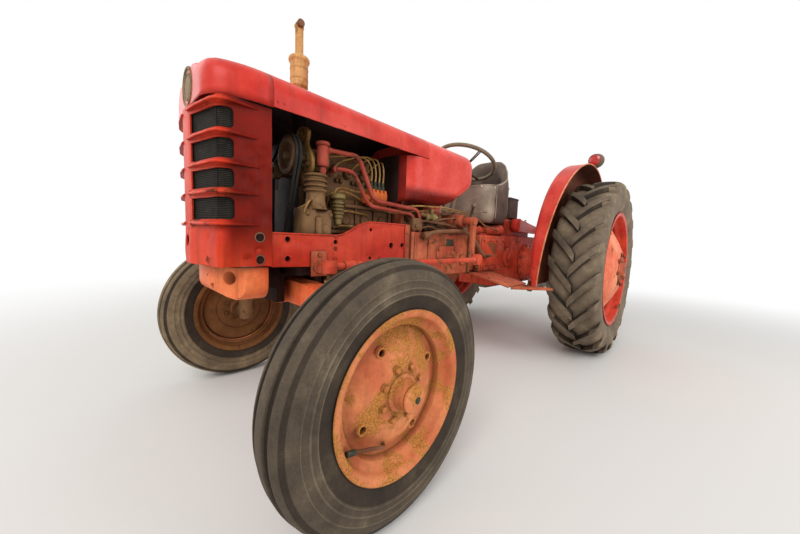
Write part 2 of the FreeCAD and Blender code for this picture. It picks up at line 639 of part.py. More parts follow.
# Two red pipes along the engine
PIPE_A = [(158, 72, 1058), (163, 150, 1060), (170, 202, 1062), (186, 272, 897), (188, 538, 884), (188, 560, 850),
          (188, 560, 780.2)]
PIPE_B = [(105.3, 114, 1000), (150, 114, 1000), (168, 150, 999), (174, 182, 990), (185, 246, 874), (184, 520, 860),
          (184, 520, 780.2)]
save("air_pipes", Part.makeCompound([tube(PIPE_A, 9), tube(PIPE_B, 8)]))

# Exhaust
ex = [
    cyl((EXHAUST_X, EXHAUST_Y, 1085), (EXHAUST_X, EXHAUST_Y, 1312), 27),
    cyl((EXHAUST_X, EXHAUST_Y, 1311), (EXHAUST_X, EXHAUST_Y, 1405), 33),
    cyl((EXHAUST_X, EXHAUST_Y, 1404), (EXHAUST_X, EXHAUST_Y, 1420), 38),
    cyl((EXHAUST_X, EXHAUST_Y, 1419), (EXHAUST_X, EXHAUST_Y, 1536), 15),
    cyl((EXHAUST_X - 16, EXHAUST_Y, 1537), (EXHAUST_X + 26, EXHAUST_Y - 4, 1535), 14),
]
save("exhaust", union(ex))

# Clutch housing and gearbox, rear axle with trumpets and half shafts
GB_TOP = 780.0
CASE_END_Y = WHEELBASE - 539.0
NECK_Y = CASE_END_Y - 421.0
TRANS_Y = CASE_END_Y - 312.0
AXLE_END_Y = WHEELBASE + 170.0
AXLE_LOW_Z = REAR_Z - 150.0
AXLE_TOP_Z = REAR_Z + 210.0
AXLE_HALF_W = 138.0
gb = [
    box(-186, 186, 462, 500, 590, 812),
    box(-196, 196, 499, NECK_Y, 565, GB_TOP),
    box(-170, 170, NECK_Y - 1, TRANS_Y + 1, 570, GB_TOP - 10),
    box(-204, 204, TRANS_Y, CASE_END_Y, 560, GB_TOP + 8),
    box(-120, 120, 640, CASE_END_Y, GB_TOP - 11, GB_TOP + 40),
    box(-90, 90, 700, 760, GB_TOP + 39, TANK_Z0),
    box(-150, 150, 472, 486, 811, TANK_Z0),
    box(100, 190, DROP_Y - 42, DROP_Y + 42, GB_TOP - 1, DROP_TOP_Z + 34),
    cyl((150, DROP_Y, DROP_TOP_Z), (DROP_X - 54, DROP_Y, DROP_TOP_Z), 33),
]
gb = union(gb)
gb = gb.cut(cyl((DROP_X - 100, DROP_Y, DROP_TOP_Z), (DROP_X, DROP_Y, DROP_TOP_Z), 22 + RUNNING_GAP))
save("gearbox", gb)
ax_y, ax_z = WHEELBASE, REAR_Z
PIVOT_Y = WHEELBASE - 60.0
PIVOT_Z = REAR_Z - 190.0
LINK_X = 215.0
rear = [
    box(-AXLE_HALF_W, AXLE_HALF_W, CASE_END_Y, AXLE_END_Y, AXLE_LOW_Z, AXLE_TOP_Z),
    cone((-430, ax_y, ax_z), (-AXLE_HALF_W + 5, ax_y, ax_z), 72, 116),
    cone((430, ax_y, ax_z), (AXLE_HALF_W - 5, ax_y, ax_z), 72, 116),
    cyl((-445, ax_y, ax_z), (-428, ax_y, ax_z), 95),
    cyl((445, ax_y, ax_z), (428, ax_y, ax_z), 95),
    cyl((-REAR_WHEEL_X - 159, ax_y, ax_z), (REAR_WHEEL_X + 159, ax_y, ax_z), HALF_SHAFT_R),
    cyl((100, PIVOT_Y, PIVOT_Z), (LINK_X + 24, PIVOT_Y, PIVOT_Z), 15),
    cyl((-100, PIVOT_Y, PIVOT_Z), (-LINK_X - 24, PIVOT_Y, PIVOT_Z), 15),
    box(-136, -100, PIVOT_Y - 35, PIVOT_Y + 35, PIVOT_Z - 25, AXLE_LOW_Z + 1),
    box(100, 136, PIVOT_Y - 35, PIVOT_Y + 35, PIVOT_Z - 25, AXLE_LOW_Z + 1),
]
save("rear_axle", union(rear))

# Lift housing on top of the axle, with the rock shaft and its two arms
LIFT_Y = WHEELBASE - 260.0
LIFT_Z = REAR_Z + 290.0
LIFT_TOP_Z = REAR_Z + 340.0
ARM_END_Y = AXLE_END_Y
ARM_END_Z = REAR_Z + 260.0
ROD_FOOT_Y = WHEELBASE + 290.0
lift = box(-130, 130, WHEELBASE - 400, WHEELBASE + 40, AXLE_TOP_Z, LIFT_TOP_Z)
lift = lift.makeFillet(34, [e for e in lift.Edges if e.CenterOfMass.z > LIFT_TOP_Z - 1])
lift = lift.cut(cyl((-200, LIFT_Y, LIFT_Z), (200, LIFT_Y, LIFT_Z), 24 + RUNNING_GAP))
save("lift_housing", lift)
arms = [cyl((-185, LIFT_Y, LIFT_Z), (185, LIFT_Y, LIFT_Z), 24)]
for side, sign in SIDES:
    x0, x1 = sorted((sign * 146, sign * 180))
    arms.append(cyl((sign * 136, LIFT_Y, LIFT_Z), (sign * 186, LIFT_Y, LIFT_Z), 48))
    arms.append(prism_x([(LIFT_Y - 8, LIFT_Z + 46), (ARM_END_Y, ARM_END_Z + 24), (ARM_END_Y + 22, ARM_END_Z),
                         (ARM_END_Y, ARM_END_Z - 24), (LIFT_Y - 8, LIFT_Z - 46)], x0, x1))
    arms.append(cyl((sign * 150, ARM_END_Y, ARM_END_Z), (sign * 226, ARM_END_Y, ARM_END_Z), 11))
save("lift_arms", union(arms))

# Lift rods hang from the arms' pins; the lower links hang from pins under the axle
ROD_X0 = 182.0
ROD_X1 = 204.0
rods = []
for side, sign in SIDES:
    x0, x1, xm = ROD_X0, ROD_X1, (ROD_X0 + ROD_X1) / 2.0
    one = union([cyl((x0, ARM_END_Y, ARM_END_Z), (x1, ARM_END_Y, ARM_END_Z), 25),
                 cyl((x0, ROD_FOOT_Y, PIVOT_Z), (x1, ROD_FOOT_Y, PIVOT_Z), 25),
                 cyl((xm, ARM_END_Y + 4, ARM_END_Z - 18), (xm, ROD_FOOT_Y - 4, PIVOT_Z + 19), 10.5)])
    one = one.cut(cyl((x0 - 9, ARM_END_Y, ARM_END_Z), (x1 + 9, ARM_END_Y, ARM_END_Z), 11 + RUNNING_GAP))
    one = one.cut(cyl((x0 - 9, ROD_FOOT_Y, PIVOT_Z), (x1 + 9, ROD_FOOT_Y, PIVOT_Z), 17))
    rods.append(sided(one, sign))
save("lift_rods", Part.makeCompound(rods))
links = []
for side, sign in SIDES:
    x = LINK_X
    link = union([
        box(x - 8, x + 8, PIVOT_Y, LINK_END_Y, PIVOT_Z - 24, PIVOT_Z + 24),
        cyl((x - 14, PIVOT_Y, PIVOT_Z), (x + 14, PIVOT_Y, PIVOT_Z), LINK_EYE_R),
        cyl((x - 20, LINK_END_Y, PIVOT_Z), (x + 20, LINK_END_Y, PIVOT_Z), LINK_EYE_R),
        cyl((ROD_X0 - 4, ROD_FOOT_Y, PIVOT_Z), (x, ROD_FOOT_Y, PIVOT_Z), 9),
    ])
    link = cut(link, [cyl((x - 30, PIVOT_Y, PIVOT_Z), (x + 30, PIVOT_Y, PIVOT_Z), 15 + RUNNING_GAP),
                      cyl((x - 30, LINK_END_Y, PIVOT_Z), (x + 30, LINK_END_Y, PIVOT_Z), 11.2)])
    links.append(sided(link, sign))
save("lower_links", Part.makeCompound(links))

# Drawbar with its pin hole, and the power shaft end
BAR_Z0 = AXLE_LOW_Z - 32.0
BAR_END_Y = AXLE_END_Y + 200.0
bar = union([box(-45, 45, WHEELBASE - 460, BAR_END_Y, BAR_Z0, BAR_Z0 + 30),
             box(-90, 90, WHEELBASE - 460, WHEELBASE - 260, BAR_Z0 + 29, AXLE_LOW_Z)])
bar = bar.cut(cyl((0, BAR_END_Y - 40, BAR_Z0 - 10), (0, BAR_END_Y - 40, BAR_Z0 + 40), 16))
save("drawbar", bar)
SHAFT_Z = REAR_Z + 10.0
GUARD_END_Y = AXLE_END_Y + 100.0
save("power_shaft", union([cyl((0, AXLE_END_Y, SHAFT_Z), (0, AXLE_END_Y + 105, SHAFT_Z), 17.4),
                           box(-70, 70, AXLE_END_Y, GUARD_END_Y, SHAFT_Z + 68, SHAFT_Z + 74),
                           box(-76, -69, AXLE_END_Y, GUARD_END_Y, SHAFT_Z - 40, SHAFT_Z + 74),
                           box(69, 76, AXLE_END_Y, GUARD_END_Y, SHAFT_Z - 40, SHAFT_Z + 74)]))

# Fenders: narrow shells over the inner part of each rear tyre, wider towards their top
FENDER_R = REAR_TYRE_R + 105.0
FENDER_RISE = 25.0
FENDER_X0 = 445.0
FENDER_X1 = 600.0
EDGE_LOW = (492.0, REAR_Z - 97.0)
EDGE_HIGH = (578.0, REAR_Z + 735.0)


def fender_edge(z):
    # how far out the open edge stands at height z
    share = (z - EDGE_LOW[1]) / (EDGE_HIGH[1] - EDGE_LOW[1])
    return EDGE_LOW[0] + (EDGE_HIGH[0] - EDGE_LOW[0]) * share


def fender():
    y, z = WHEELBASE, REAR_Z + FENDER_RISE
    t = 4.0
    r = FENDER_R
    prof = [
        (FENDER_X0, 455), (FENDER_X0, r - 34), (FENDER_X0 + 9, r - 10), (FENDER_X0 + 33, r),
        (FENDER_X1, r - 4), (FENDER_X1, r - 4 - t), (FENDER_X0 + 33, r - t), (FENDER_X0 + 11, r - 9 - t),
        (FENDER_X0 + t, r - 36), (FENDER_X0 + t, 455),
    ]
    f = face([(a, y - b, z) for a, b in prof])
    f.rotate(V(0, y, z), V(1, 0, 0), 10.0)
    body = f.revolve(V(0, y, z), V(1, 0, 0), -150)
    plate = prism_x([(y - 220, REAR_Z - 90), (y - 490, REAR_Z + 60), (y - 310, REAR_Z + 420), (y + 160, REAR_Z + 490),
                     (y + 345, REAR_Z + 355), (y + 120, REAR_Z - 90)], FENDER_X0, FENDER_X0 + t)
    plate = plate.cut(cyl((400, y, REAR_Z), (500, y, REAR_Z), HALF_SHAFT_R + 1))
    low, high = REAR_Z - 300.0, REAR_Z + 900.0
    outside = prism_y([(fender_edge(low), low), (fender_edge(high), high), (800, high), (800, low)],
                      y - FENDER_R - 50, y + FENDER_R + 50)
    return body.fuse(plate).cut(outside)


save("fenders", Part.makeCompound([sided(fender(), sign) for side, sign in SIDES]))
LAMP_X = 560.0
LAMP_Y = WHEELBASE + 109.0
LAMP_Z = REAR_Z + 775.0
lamps = []
for side, sign in SIDES:
    lx = sign * LAMP_X
    stalk = cyl((lx, LAMP_Y - 6, LAMP_Z - 90), (lx, LAMP_Y - 6, LAMP_Z - 30), 8)
    stalk = stalk.cut(cyl((lx - 30, WHEELBASE, REAR_Z + FENDER_RISE), (lx + 30, WHEELBASE, REAR_Z + FENDER_RISE),
                          FENDER_R - 2.4))
    lamps.append(union([stalk, cone((lx, LAMP_Y - 40, LAMP_Z), (lx, LAMP_Y + 6, LAMP_Z), 40, 52),
                        cone((lx, LAMP_Y + 5, LAMP_Z), (lx, LAMP_Y + 44, LAMP_Z), 52, 24)]))
save("rear_lamps", Part.makeCompound(lamps))

# Foot plates from the gearbox out towards the fenders
STEP_Y1 = WHEELBASE - FENDER_R + 14.0
STEP_Y0 = STEP_Y1 - 246.0
STEP_Z = REAR_Z - 90.0
steps = []
for side, sign in SIDES:
    plate = prism_y([(150, 560), (204, 560), (430, STEP_Z + 8), (430, STEP_Z), (204, 552), (150, 552)],
                    STEP_Y0, STEP_Y1)
    rail = prism_z([(424, STEP_Y1 - 192), (424, STEP_Y1 - 132), (556, STEP_Y1 - 16), (592, STEP_Y1 - 28)],
                   STEP_Z - 14, STEP_Z + 1)
    steps.append(sided(union([plate, rail]), sign))
save("foot_plates", Part.makeCompound(steps))

# Seat: a deep tub with a half round back, on its bracket, and the box behind it
SEAT_Y0 = CASE_END_Y - 241.0
SEAT_HALF_W = 200.0
SEAT_Y1 = SEAT_Y0 + 428.0
SEAT_Z = GB_TOP + 90.0
SEAT_ARM_Z = SEAT_Z + 240.0
SEAT_TOP_Z = SEAT_Z + 460.0
SEAT_FLOOR_Z = SEAT_Z + 120.0


def tub_plan(w, front, back):
    # straight sides with a half round back, all as short straight runs
    right = [(w, front)]
    for k in range(9):
        a = math.radians(11.25 * k)
        right.append((w * math.cos(a), back - w + w * math.sin(a)))
    return right + [(-x, y) for x, y in reversed(right[:-1])]


def tub_front(w):
    # outline from the front: rounded lower corners and a rounded top
    right = [(w - 55, SEAT_Z), (w - 22, SEAT_Z + 14), (w - 5, SEAT_Z + 44), (w, SEAT_Z + 90), (w, SEAT_TOP_Z - 150),
             (w - 12, SEAT_TOP_Z - 76), (w - 40, SEAT_TOP_Z - 28), (w - 84, SEAT_TOP_Z - 6), (40, SEAT_TOP_Z)]
    return right + [(-x, z) for x, z in reversed(right)]


side_view = [(SEAT_Y0 + 40, SEAT_Z), (SEAT_Y0 + 10, SEAT_Z + 16), (SEAT_Y0, SEAT_Z + 50), (SEAT_Y0, SEAT_ARM_Z - 30),
             (SEAT_Y0 + 22, SEAT_ARM_Z - 6), (SEAT_Y0 + 60, SEAT_ARM_Z), (SEAT_Y0 + 270, SEAT_ARM_Z + 6),
             (SEAT_Y0 + 312, SEAT_ARM_Z + 28), (SEAT_Y0 + 350, SEAT_ARM_Z + 96), (SEAT_Y0 + 385, SEAT_ARM_Z + 184),
             (SEAT_Y0 + 408, SEAT_TOP_Z), (SEAT_Y1 + 5, SEAT_TOP_Z), (SEAT_Y1 + 5, SEAT_Z + 150),
             (SEAT_Y1 - 30, SEAT_Z + 92), (SEAT_Y1 - 70, SEAT_Z + 66), (SEAT_Y1 - 110, SEAT_Z + 14),
             (SEAT_Y1 - 150, SEAT_Z)]
tub = prism_z(tub_plan(SEAT_HALF_W, SEAT_Y0, SEAT_Y1), SEAT_Z - 5, SEAT_TOP_Z + 5)
tub = tub.cut(prism_z(tub_plan(SEAT_HALF_W - 36, SEAT_Y0 - 10, SEAT_Y1 - 36), SEAT_FLOOR_Z, SEAT_TOP_Z + 10))
tub = tub.common(prism_x(side_view, -SEAT_HALF_W - 5, SEAT_HALF_W + 5))
tub = tub.common(prism_y(tub_front(SEAT_HALF_W), SEAT_Y0 - 5, SEAT_Y1 + 5))
save("seat", tub)
BRACKET_Y = SEAT_Y0 + 180.0
save("seat_bracket", union([box(-60, 60, BRACKET_Y - 50, BRACKET_Y + 35, GB_TOP + 40, 840),
                            box(-40, 40, BRACKET_Y - 30, BRACKET_Y + 30, 839, SEAT_Z)]))
save("box_behind_seat", box(-128, 128, WHEELBASE - 320, WHEELBASE - 180, LIFT_TOP_Z, LIFT_TOP_Z + 150))

# Steering column and wheel
WHEEL_C = V(0, 1210, 1258)
LEAN = math.radians(22.5)
AX = V(0, math.sin(LEAN), math.cos(LEAN))


def along(d):
    return (WHEEL_C.x + AX.x * d, WHEEL_C.y + AX.y * d, WHEEL_C.z + AX.z * d)


column = union([cyl(along(-520), along(-62), 24), cyl(along(-520), along(-440), 38), cyl(along(-63), along(-20), 10)])
save("steering_column", column.cut(box(-80, 80, 900, 1150, 700, GB_TOP + 40)))
STEER_R = 193.0
rim = Part.makeTorus(STEER_R, 12, V(0, 0, 0), V(0, 0, 1))
spokes = [rim, Part.makeCylinder(30, 44, V(0, 0, -56))]
for k in range(3):
    a = math.radians(90 + 120 * k)
    spokes.append(cyl((24 * math.cos(a), 24 * math.sin(a), -28), (STEER_R * math.cos(a), STEER_R * math.sin(a), 0), 7))
wheel = union(spokes).cut(Part.makeCylinder(10 + RUNNING_GAP, 45, V(0, 0, -64)))
wheel.rotate(V(0, 0, 0), V(1, 0, 0), -math.degrees(LEAN))
wheel.translate(WHEEL_C)
save("steering_wheel", wheel)

# Pedals and hand levers, fixed as they stand
PEDAL = [(217, 560, 762), (222, 640, 786), (226, 860, 800), (234, 960, 780), (244, 1060, 680), (246, 1100, 658),
         (246, 1162, 664)]
levers = [
    union([tube(PEDAL, 11), cyl((196, 575, 764), (222, 575, 764), 15)]),
    tube([(150, 1030, 770.2), (150, 1030, 810), (165, 1050, 900), (200, 1020, 950)], 8),
    tube([(-95, 1090, 820.2), (-95, 1090, 850), (-95, 1130, 1000)], 8),
]
save("levers_and_pedals", Part.makeCompound(levers))
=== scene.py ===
import math
import random

import bmesh
import bpy
from mathutils import Matrix, Vector


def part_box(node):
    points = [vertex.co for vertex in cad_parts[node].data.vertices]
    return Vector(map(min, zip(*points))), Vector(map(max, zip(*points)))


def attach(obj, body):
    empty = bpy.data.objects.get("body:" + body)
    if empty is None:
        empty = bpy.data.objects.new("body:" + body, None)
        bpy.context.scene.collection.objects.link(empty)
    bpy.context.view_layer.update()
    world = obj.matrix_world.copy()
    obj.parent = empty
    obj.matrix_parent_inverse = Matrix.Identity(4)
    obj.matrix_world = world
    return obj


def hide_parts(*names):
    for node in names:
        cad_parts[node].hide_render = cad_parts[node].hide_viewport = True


bl_info = {
    "name": "Farm tractor",
    "version": (1, 0, 0),
    "blender": (4, 5, 0),
    "location": "3D View > Sidebar > Tractor",
    "description": "Builds the looks of a small open farm tractor around its fixed frame",
    "category": "Add Mesh",
}

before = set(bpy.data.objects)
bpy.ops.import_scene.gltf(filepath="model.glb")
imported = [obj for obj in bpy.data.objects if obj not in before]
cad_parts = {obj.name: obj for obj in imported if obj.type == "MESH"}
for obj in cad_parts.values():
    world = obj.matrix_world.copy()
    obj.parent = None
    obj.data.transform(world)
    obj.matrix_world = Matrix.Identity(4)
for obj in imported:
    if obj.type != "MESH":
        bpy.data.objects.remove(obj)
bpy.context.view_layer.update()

# The pieces are made in millimetres with y measured from the front axle, then
# moved into the frame's metres. The front tyre says where the axle is.
AXLE_Y = sum(corner.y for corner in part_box("front_tyre_left")) / 2.0
TO_ROW = Matrix.Translation((0.0, AXLE_Y, 0.0)) @ Matrix.Scale(0.001, 4)
FROM_ROW = TO_ROW.inverted()
AXES = {"x": Vector((1, 0, 0)), "y": Vector((0, 1, 0)), "z": Vector((0, 0, 1))}
SIDES = (("left", 1.0), ("right", -1.0))
FRONT_Z, REAR_Z, REAR_Y = 347.0, 590.0, 1960.0
FRONT_X, REAR_X = 597.0, 636.0
SHELL_BACK = AXLE_Y - 0.153
FINISH = {}
# points closer than MERGE become one, and edges sharper than SHARP are rounded
MERGE, SHARP = 0.02, math.radians(32.0)


def linear(hex_colour):
    """An sRGB hex colour as linear red, green, blue and alpha."""
    parts = [int(hex_colour[i:i + 2], 16) / 255.0 for i in (1, 3, 5)]
    parts = [c / 12.92 if c <= 0.04045 else ((c + 0.055) / 1.055) ** 2.4 for c in parts]
    return (*parts, 1.0)


# Meshes
class Shape:
    """A mesh being built, in millimetres, with y measured from the front axle."""

    def __init__(self):
        self.bm = bmesh.new()
        self.paint = 0

    def join(self, part):
        """Puts a bmesh into this shape with the finishes that it has."""
        mesh = bpy.data.meshes.new("part")
        part.to_mesh(mesh)
        part.free()
        self.bm.from_mesh(mesh)
        bpy.data.meshes.remove(mesh)

    def take(self, part, bevel=0.0, segments=2):
        """Adds a part in the shape's present paint and rounds its sharp edges."""
        bmesh.ops.remove_doubles(part, verts=part.verts, dist=MERGE)
        bmesh.ops.recalc_face_normals(part, faces=part.faces)
        if bevel:
            edges = [e for e in part.edges if len(e.link_faces) == 2 and e.calc_face_angle(0.0) > SHARP]
            bmesh.ops.bevel(part, geom=edges, offset=bevel, offset_type="OFFSET", segments=segments,
                            profile=0.5, affect="EDGES", clamp_overlap=True, material=-1)
        for f in part.faces:
            f.material_index = self.paint
        self.join(part)

    def box(self, x0, x1, y0, y1, z0, z1, bevel=2.0, segments=2):
        part = bmesh.new()
        x0, x1 = sorted((x0, x1))
        middle = Matrix.Translation(((x0 + x1) / 2, (y0 + y1) / 2, (z0 + z1) / 2))
        bmesh.ops.create_cube(part, size=1.0, matrix=middle @ Matrix.Diagonal((x1 - x0, y1 - y0, z1 - z0, 1)))
        self.take(part, bevel, segments)

    def rod(self, p, q, r, r1=None, steps=28, bevel=0.0):
        p, q = Vector(p), Vector(q)
        turn = (q - p).to_track_quat("Z", "Y").to_matrix().to_4x4()
        part = bmesh.new()
        bmesh.ops.create_cone(part, cap_ends=True, segments=steps, radius1=r, radius2=r if r1 is None else r1,
                              depth=(q - p).length, matrix=Matrix.Translation((p + q) / 2) @ turn)
        self.take(part, bevel)

    def ball(self, p, r, steps=20):
        part = bmesh.new()
        bmesh.ops.create_uvsphere(part, u_segments=steps, v_segments=steps // 2, radius=r,
                                  matrix=Matrix.Translation(p))
        self.take(part)

    def bolt(self, p, axis, r=8.0, h=6.0):
        """A hexagon head on a washer, standing on p and pointing along axis."""
        p, way = Vector(p), Vector(axis).normalized()
        self.rod(p - way, p + way * 1.4, r * 1.35, steps=16)
        self.rod(p, p + way * h, r, steps=6, bevel=r * 0.12)

    def lathe(self, profile, centre, axis="x", steps=96, closed=False, angle=360.0, start=0.0):
        """Turns (offset along the axis, radius) points about the axis through centre."""
        along = AXES[axis]
        out = AXES["z"] if axis != "z" else AXES["x"]
        out = Matrix.Rotation(math.radians(start), 3, along) @ out
        centre = Vector(centre)
        part = bmesh.new()
        verts = [part.verts.new(centre + along * a + out * r) for a, r in profile]
        edges = [part.edges.new(pair) for pair in zip(verts, verts[1:])]
        if closed:
            edges.append(part.edges.new((verts[-1], verts[0])))
        bmesh.ops.spin(part, geom=verts + edges, cent=centre, axis=along, angle=math.radians(angle), steps=steps,
                       use_merge=angle == 360.0, use_duplicate=False)
        self.take(part)

    def plate(self, points, axis, d0, d1, bevel=1.5, segments=2):
        """An outline in the plane across the axis, made d0 to d1 thick."""
        order = {"x": lambda a, b, d: (d, a, b), "y": lambda a, b, d: (a, d, b), "z": lambda a, b, d: (a, b, d)}[axis]
        part = bmesh.new()
        front = part.faces.new([part.verts.new(order(a, b, d0)) for a, b in points])
        made = bmesh.ops.extrude_face_region(part, geom=[front])
        moved = [v for v in made["geom"] if isinstance(v, bmesh.types.BMVert)]
        bmesh.ops.translate(part, verts=moved, vec=AXES[axis] * (d1 - d0))
        self.take(part, bevel, segments)

    def loft(self, rings, caps=True, closed=True):
        """Joins rings of equally many points, one after another."""
        part = bmesh.new()
        rows = []
        for ring in rings:
            verts = [part.verts.new(p) for p in ring]
            edges = [part.edges.new(pair) for pair in zip(verts, verts[1:])]
            if closed:
                edges.append(part.edges.new((verts[-1], verts[0])))
            rows.append((verts, edges))
        for (_, one), (_, two) in zip(rows, rows[1:]):
            bmesh.ops.bridge_loops(part, edges=one + two)
        if caps:
            for verts, _ in (rows[0], rows[-1]):
                part.faces.new(verts)
        self.take(part)

    def pipe(self, points, r, bend=None, sides=12):
        """A round bar through the points, with an even bend at each corner."""
        curve = bpy.data.curves.new("pipe", "CURVE")
        curve.dimensions = "3D"
        curve.bevel_depth = r
        curve.bevel_resolution = max(sides // 4 - 1, 0)
        curve.use_fill_caps = True
        curve.resolution_u = 6
        pts = [Vector(p) for p in points]
        knots = [(pts[0], (pts[1] - pts[0]).normalized(), 1.0)]
        for before, here, after in zip(pts, pts[1:], pts[2:]):
            one, two = here - before, after - here
            run = min(bend or 3.5 * r, 0.48 * one.length, 0.48 * two.length)
            one.normalize()
            two.normalize()
            knots.append((here - one * run, one, run))
            knots.append((here + two * run, two, run))
        knots.append((pts[-1], (pts[-1] - pts[-2]).normalized(), 1.0))
        spline = curve.splines.new("BEZIER")
        spline.bezier_points.add(len(knots) - 1)
        for k, (spot, (place, way, run)) in enumerate(zip(spline.bezier_points, knots)):
            spot.co = place
            spot.handle_left = place - way * (run * 0.56 if k % 2 == 0 else 0.5)
            spot.handle_right = place + way * (run * 0.56 if k % 2 == 1 else 0.5)
        carrier = bpy.data.objects.new("pipe", curve)
        mesh = bpy.data.meshes.new_from_object(carrier)
        part = bmesh.new()
        part.from_mesh(mesh)
        bpy.data.objects.remove(carrier)
        bpy.data.curves.remove(curve)
        bpy.data.meshes.remove(mesh)
        self.take(part)

    def copy(self, node, bevel=1.5, keep=None, segments=2, flat=2.0):
        """A merged copy of a frame node's mesh with rounded edges; keep picks the points to keep by their place."""
        part = bmesh.new()
        part.from_mesh(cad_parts[node].data)
        part.transform(FROM_ROW)
        bmesh.ops.remove_doubles(part, verts=part.verts, dist=0.05)
        bmesh.ops.dissolve_limit(part, angle_limit=math.radians(flat), verts=part.verts, edges=part.edges,
                                 use_dissolve_boundaries=False)
        if keep is not None:
            gone = [v for v in part.verts if not keep(v.co)]
            bmesh.ops.delete(part, geom=gone, context="VERTS")
        self.take(part, bevel, segments)

    def cut(self, other):
        """Takes the other shape out of this one."""
        made = [one.plain("cutting") for one in (self, other)]
        knife = made[0].modifiers.new("Cut", "BOOLEAN")
        knife.operation = "DIFFERENCE"
        knife.solver = "EXACT"
        knife.object = made[1]
        bpy.context.view_layer.update()
        ready = made[0].evaluated_get(bpy.context.evaluated_depsgraph_get())
        mesh = bpy.data.meshes.new_from_object(ready)
        self.bm = bmesh.new()
        self.bm.from_mesh(mesh)
        bpy.data.meshes.remove(mesh)
        for one in made:
            old = one.data
            bpy.data.objects.remove(one)
            bpy.data.meshes.remove(old)

    def plain(self, name):
        """This shape as an object that still stands in millimetres."""
        mesh = bpy.data.meshes.new(name)
        self.bm.to_mesh(mesh)
        self.bm.free()
        made = bpy.data.objects.new(name, mesh)
        bpy.context.scene.collection.objects.link(made)
        return made

    def mirrored(self):
        """A copy of this shape for the other side of the tractor."""
        other = Shape()
        other.bm.free()
        other.bm = self.bm.copy()
        bmesh.ops.scale(other.bm, vec=(-1, 1, 1), verts=other.bm.verts)
        bmesh.ops.reverse_faces(other.bm, faces=other.bm.faces)
        return other

    def sided(self, sign):
        return self if sign > 0 else self.mirrored()

    def dent(self, spots):
        """Pushes the surface at (x, y, z, radius, way) spots in along its normals by way millimetres."""
        self.bm.normal_update()
        shifts = []
        for v in self.bm.verts:
            move = Vector()
            for *place, r, deep in spots:
                d = (v.co - Vector(place)).length / r
                if d < 1.0:
                    move -= v.normal * deep * (1 - d * d) ** 2
            shifts.append(move)
        for v, move in zip(self.bm.verts, shifts):
            v.co += move

    def line_with(self, paint, centre):
        """Gives the faces that look towards the centre (x, y or z of None is left out) another finish."""
        self.bm.normal_update()
        for f in self.bm.faces:
            way = Vector([0.0 if c is None else c - m for c, m in zip(centre, f.calc_center_median())])
            if way.length > 1.0 and f.normal.dot(way.normalized()) > 0.25:
                f.material_index = paint

    def repaint(self, paint, test):
        """Gives another finish to each face that passes a test of the face and its middle."""
        self.bm.normal_update()
        for f in self.bm.faces:
            if test(f, f.calc_center_median()):
                f.material_index = paint

    def face_up(self):
        """Turns an open sheet so that its highest face looks up."""
        self.bm.normal_update()
        top = max(self.bm.faces, key=lambda f: f.calc_center_median().z)
        if top.normal.z < 0:
            bmesh.ops.reverse_faces(self.bm, faces=self.bm.faces)

    def thicken(self, wall):
        """Gives an open sheet its wall."""
        bmesh.ops.solidify(self.bm, geom=self.bm.faces[:], thickness=wall)
        bmesh.ops.recalc_face_normals(self.bm, faces=self.bm.faces)

    def piece(self, name, finishes, body, slot, replaces=(), smooth=38.0, thick=0.0, subdivide=0):
        """Ends the shape as an object of the frame, riding on a body."""
        mesh = bpy.data.meshes.new(name)
        self.bm.to_mesh(mesh)
        self.bm.free()
        mesh.transform(TO_ROW)
        for finish in finishes:
            mesh.materials.append(FINISH[finish])
        mesh.shade_smooth()
        mesh.set_sharp_from_angle(angle=math.radians(smooth))
        made = bpy.data.objects.new(name, mesh)
        bpy.context.scene.collection.objects.link(made)
        if thick:
            wall = made.modifiers.new("Wall", "SOLIDIFY")
            wall.thickness = thick / 1000.0
            wall.offset = -1.0
            wall.use_quality_normals = True
        if subdivide:
            skin = made.modifiers.new("Skin", "SUBSURF")
            skin.levels = subdivide
            skin.render_levels = subdivide
        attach(made, body)
        if replaces:
            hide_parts(*replaces)
        return made


# Materials
def tone(colour):
    """A grey level, an sRGB hex colour or red, green and blue as a socket's colour."""
    if isinstance(colour, str):
        return linear(colour)
    return (*(colour if isinstance(colour, tuple) else (colour,) * 3), 1.0)


def node(tree, kind, values=None):
    """Adds one node. Its values are properties, ramp stops, plain values of sockets, or sockets to link to."""
    made = tree.nodes.new("ShaderNode" + kind)
    for key, value in (values or {}).items():
        if key == "stops":
            ramp_stops = made.color_ramp.elements
            while len(ramp_stops) < len(value):
                ramp_stops.new(0.5)
            for stop, (place, colour) in zip(ramp_stops, value):
                stop.position = place
                stop.color = tone(colour)
        elif isinstance(value, bpy.types.NodeSocket):
            tree.links.new(value, made.inputs[key])
        elif isinstance(key, str) and key in made.bl_rna.properties:
            setattr(made, key, value)
        else:
            made.inputs[key].default_value = value
    return made


def new_finish(name):
    """An empty material and its tree, with the object's own coordinates."""
    made = bpy.data.materials.new(name)
    made.use_nodes = True
    tree = made.node_tree
    tree.nodes.clear()
    FINISH[name] = made
    return tree, node(tree, "TexCoord").outputs["Object"]


def clouds(tree, where, scale, detail=6.0, rough=0.6, twist=0.0):
    """Noise with so many waves a metre."""
    return node(tree, "TexNoise", {"Scale": scale, "Detail": detail, "Roughness": rough, "Distortion": twist,
                                   "Vector": where}).outputs[0]


def ramp(tree, value, *stops):
    return node(tree, "ValToRGB", {"stops": stops, "Fac": value}).outputs[0]


def span(tree, value, low, high, start=0.3, end=0.7, kind="LINEAR"):
    """The value's range from start to end, brought to low to high."""
    return node(tree, "MapRange", {"interpolation_type": kind, "From Min": start, "From Max": end, "To Min": low,
                                   "To Max": high, "Value": value}).outputs[0]


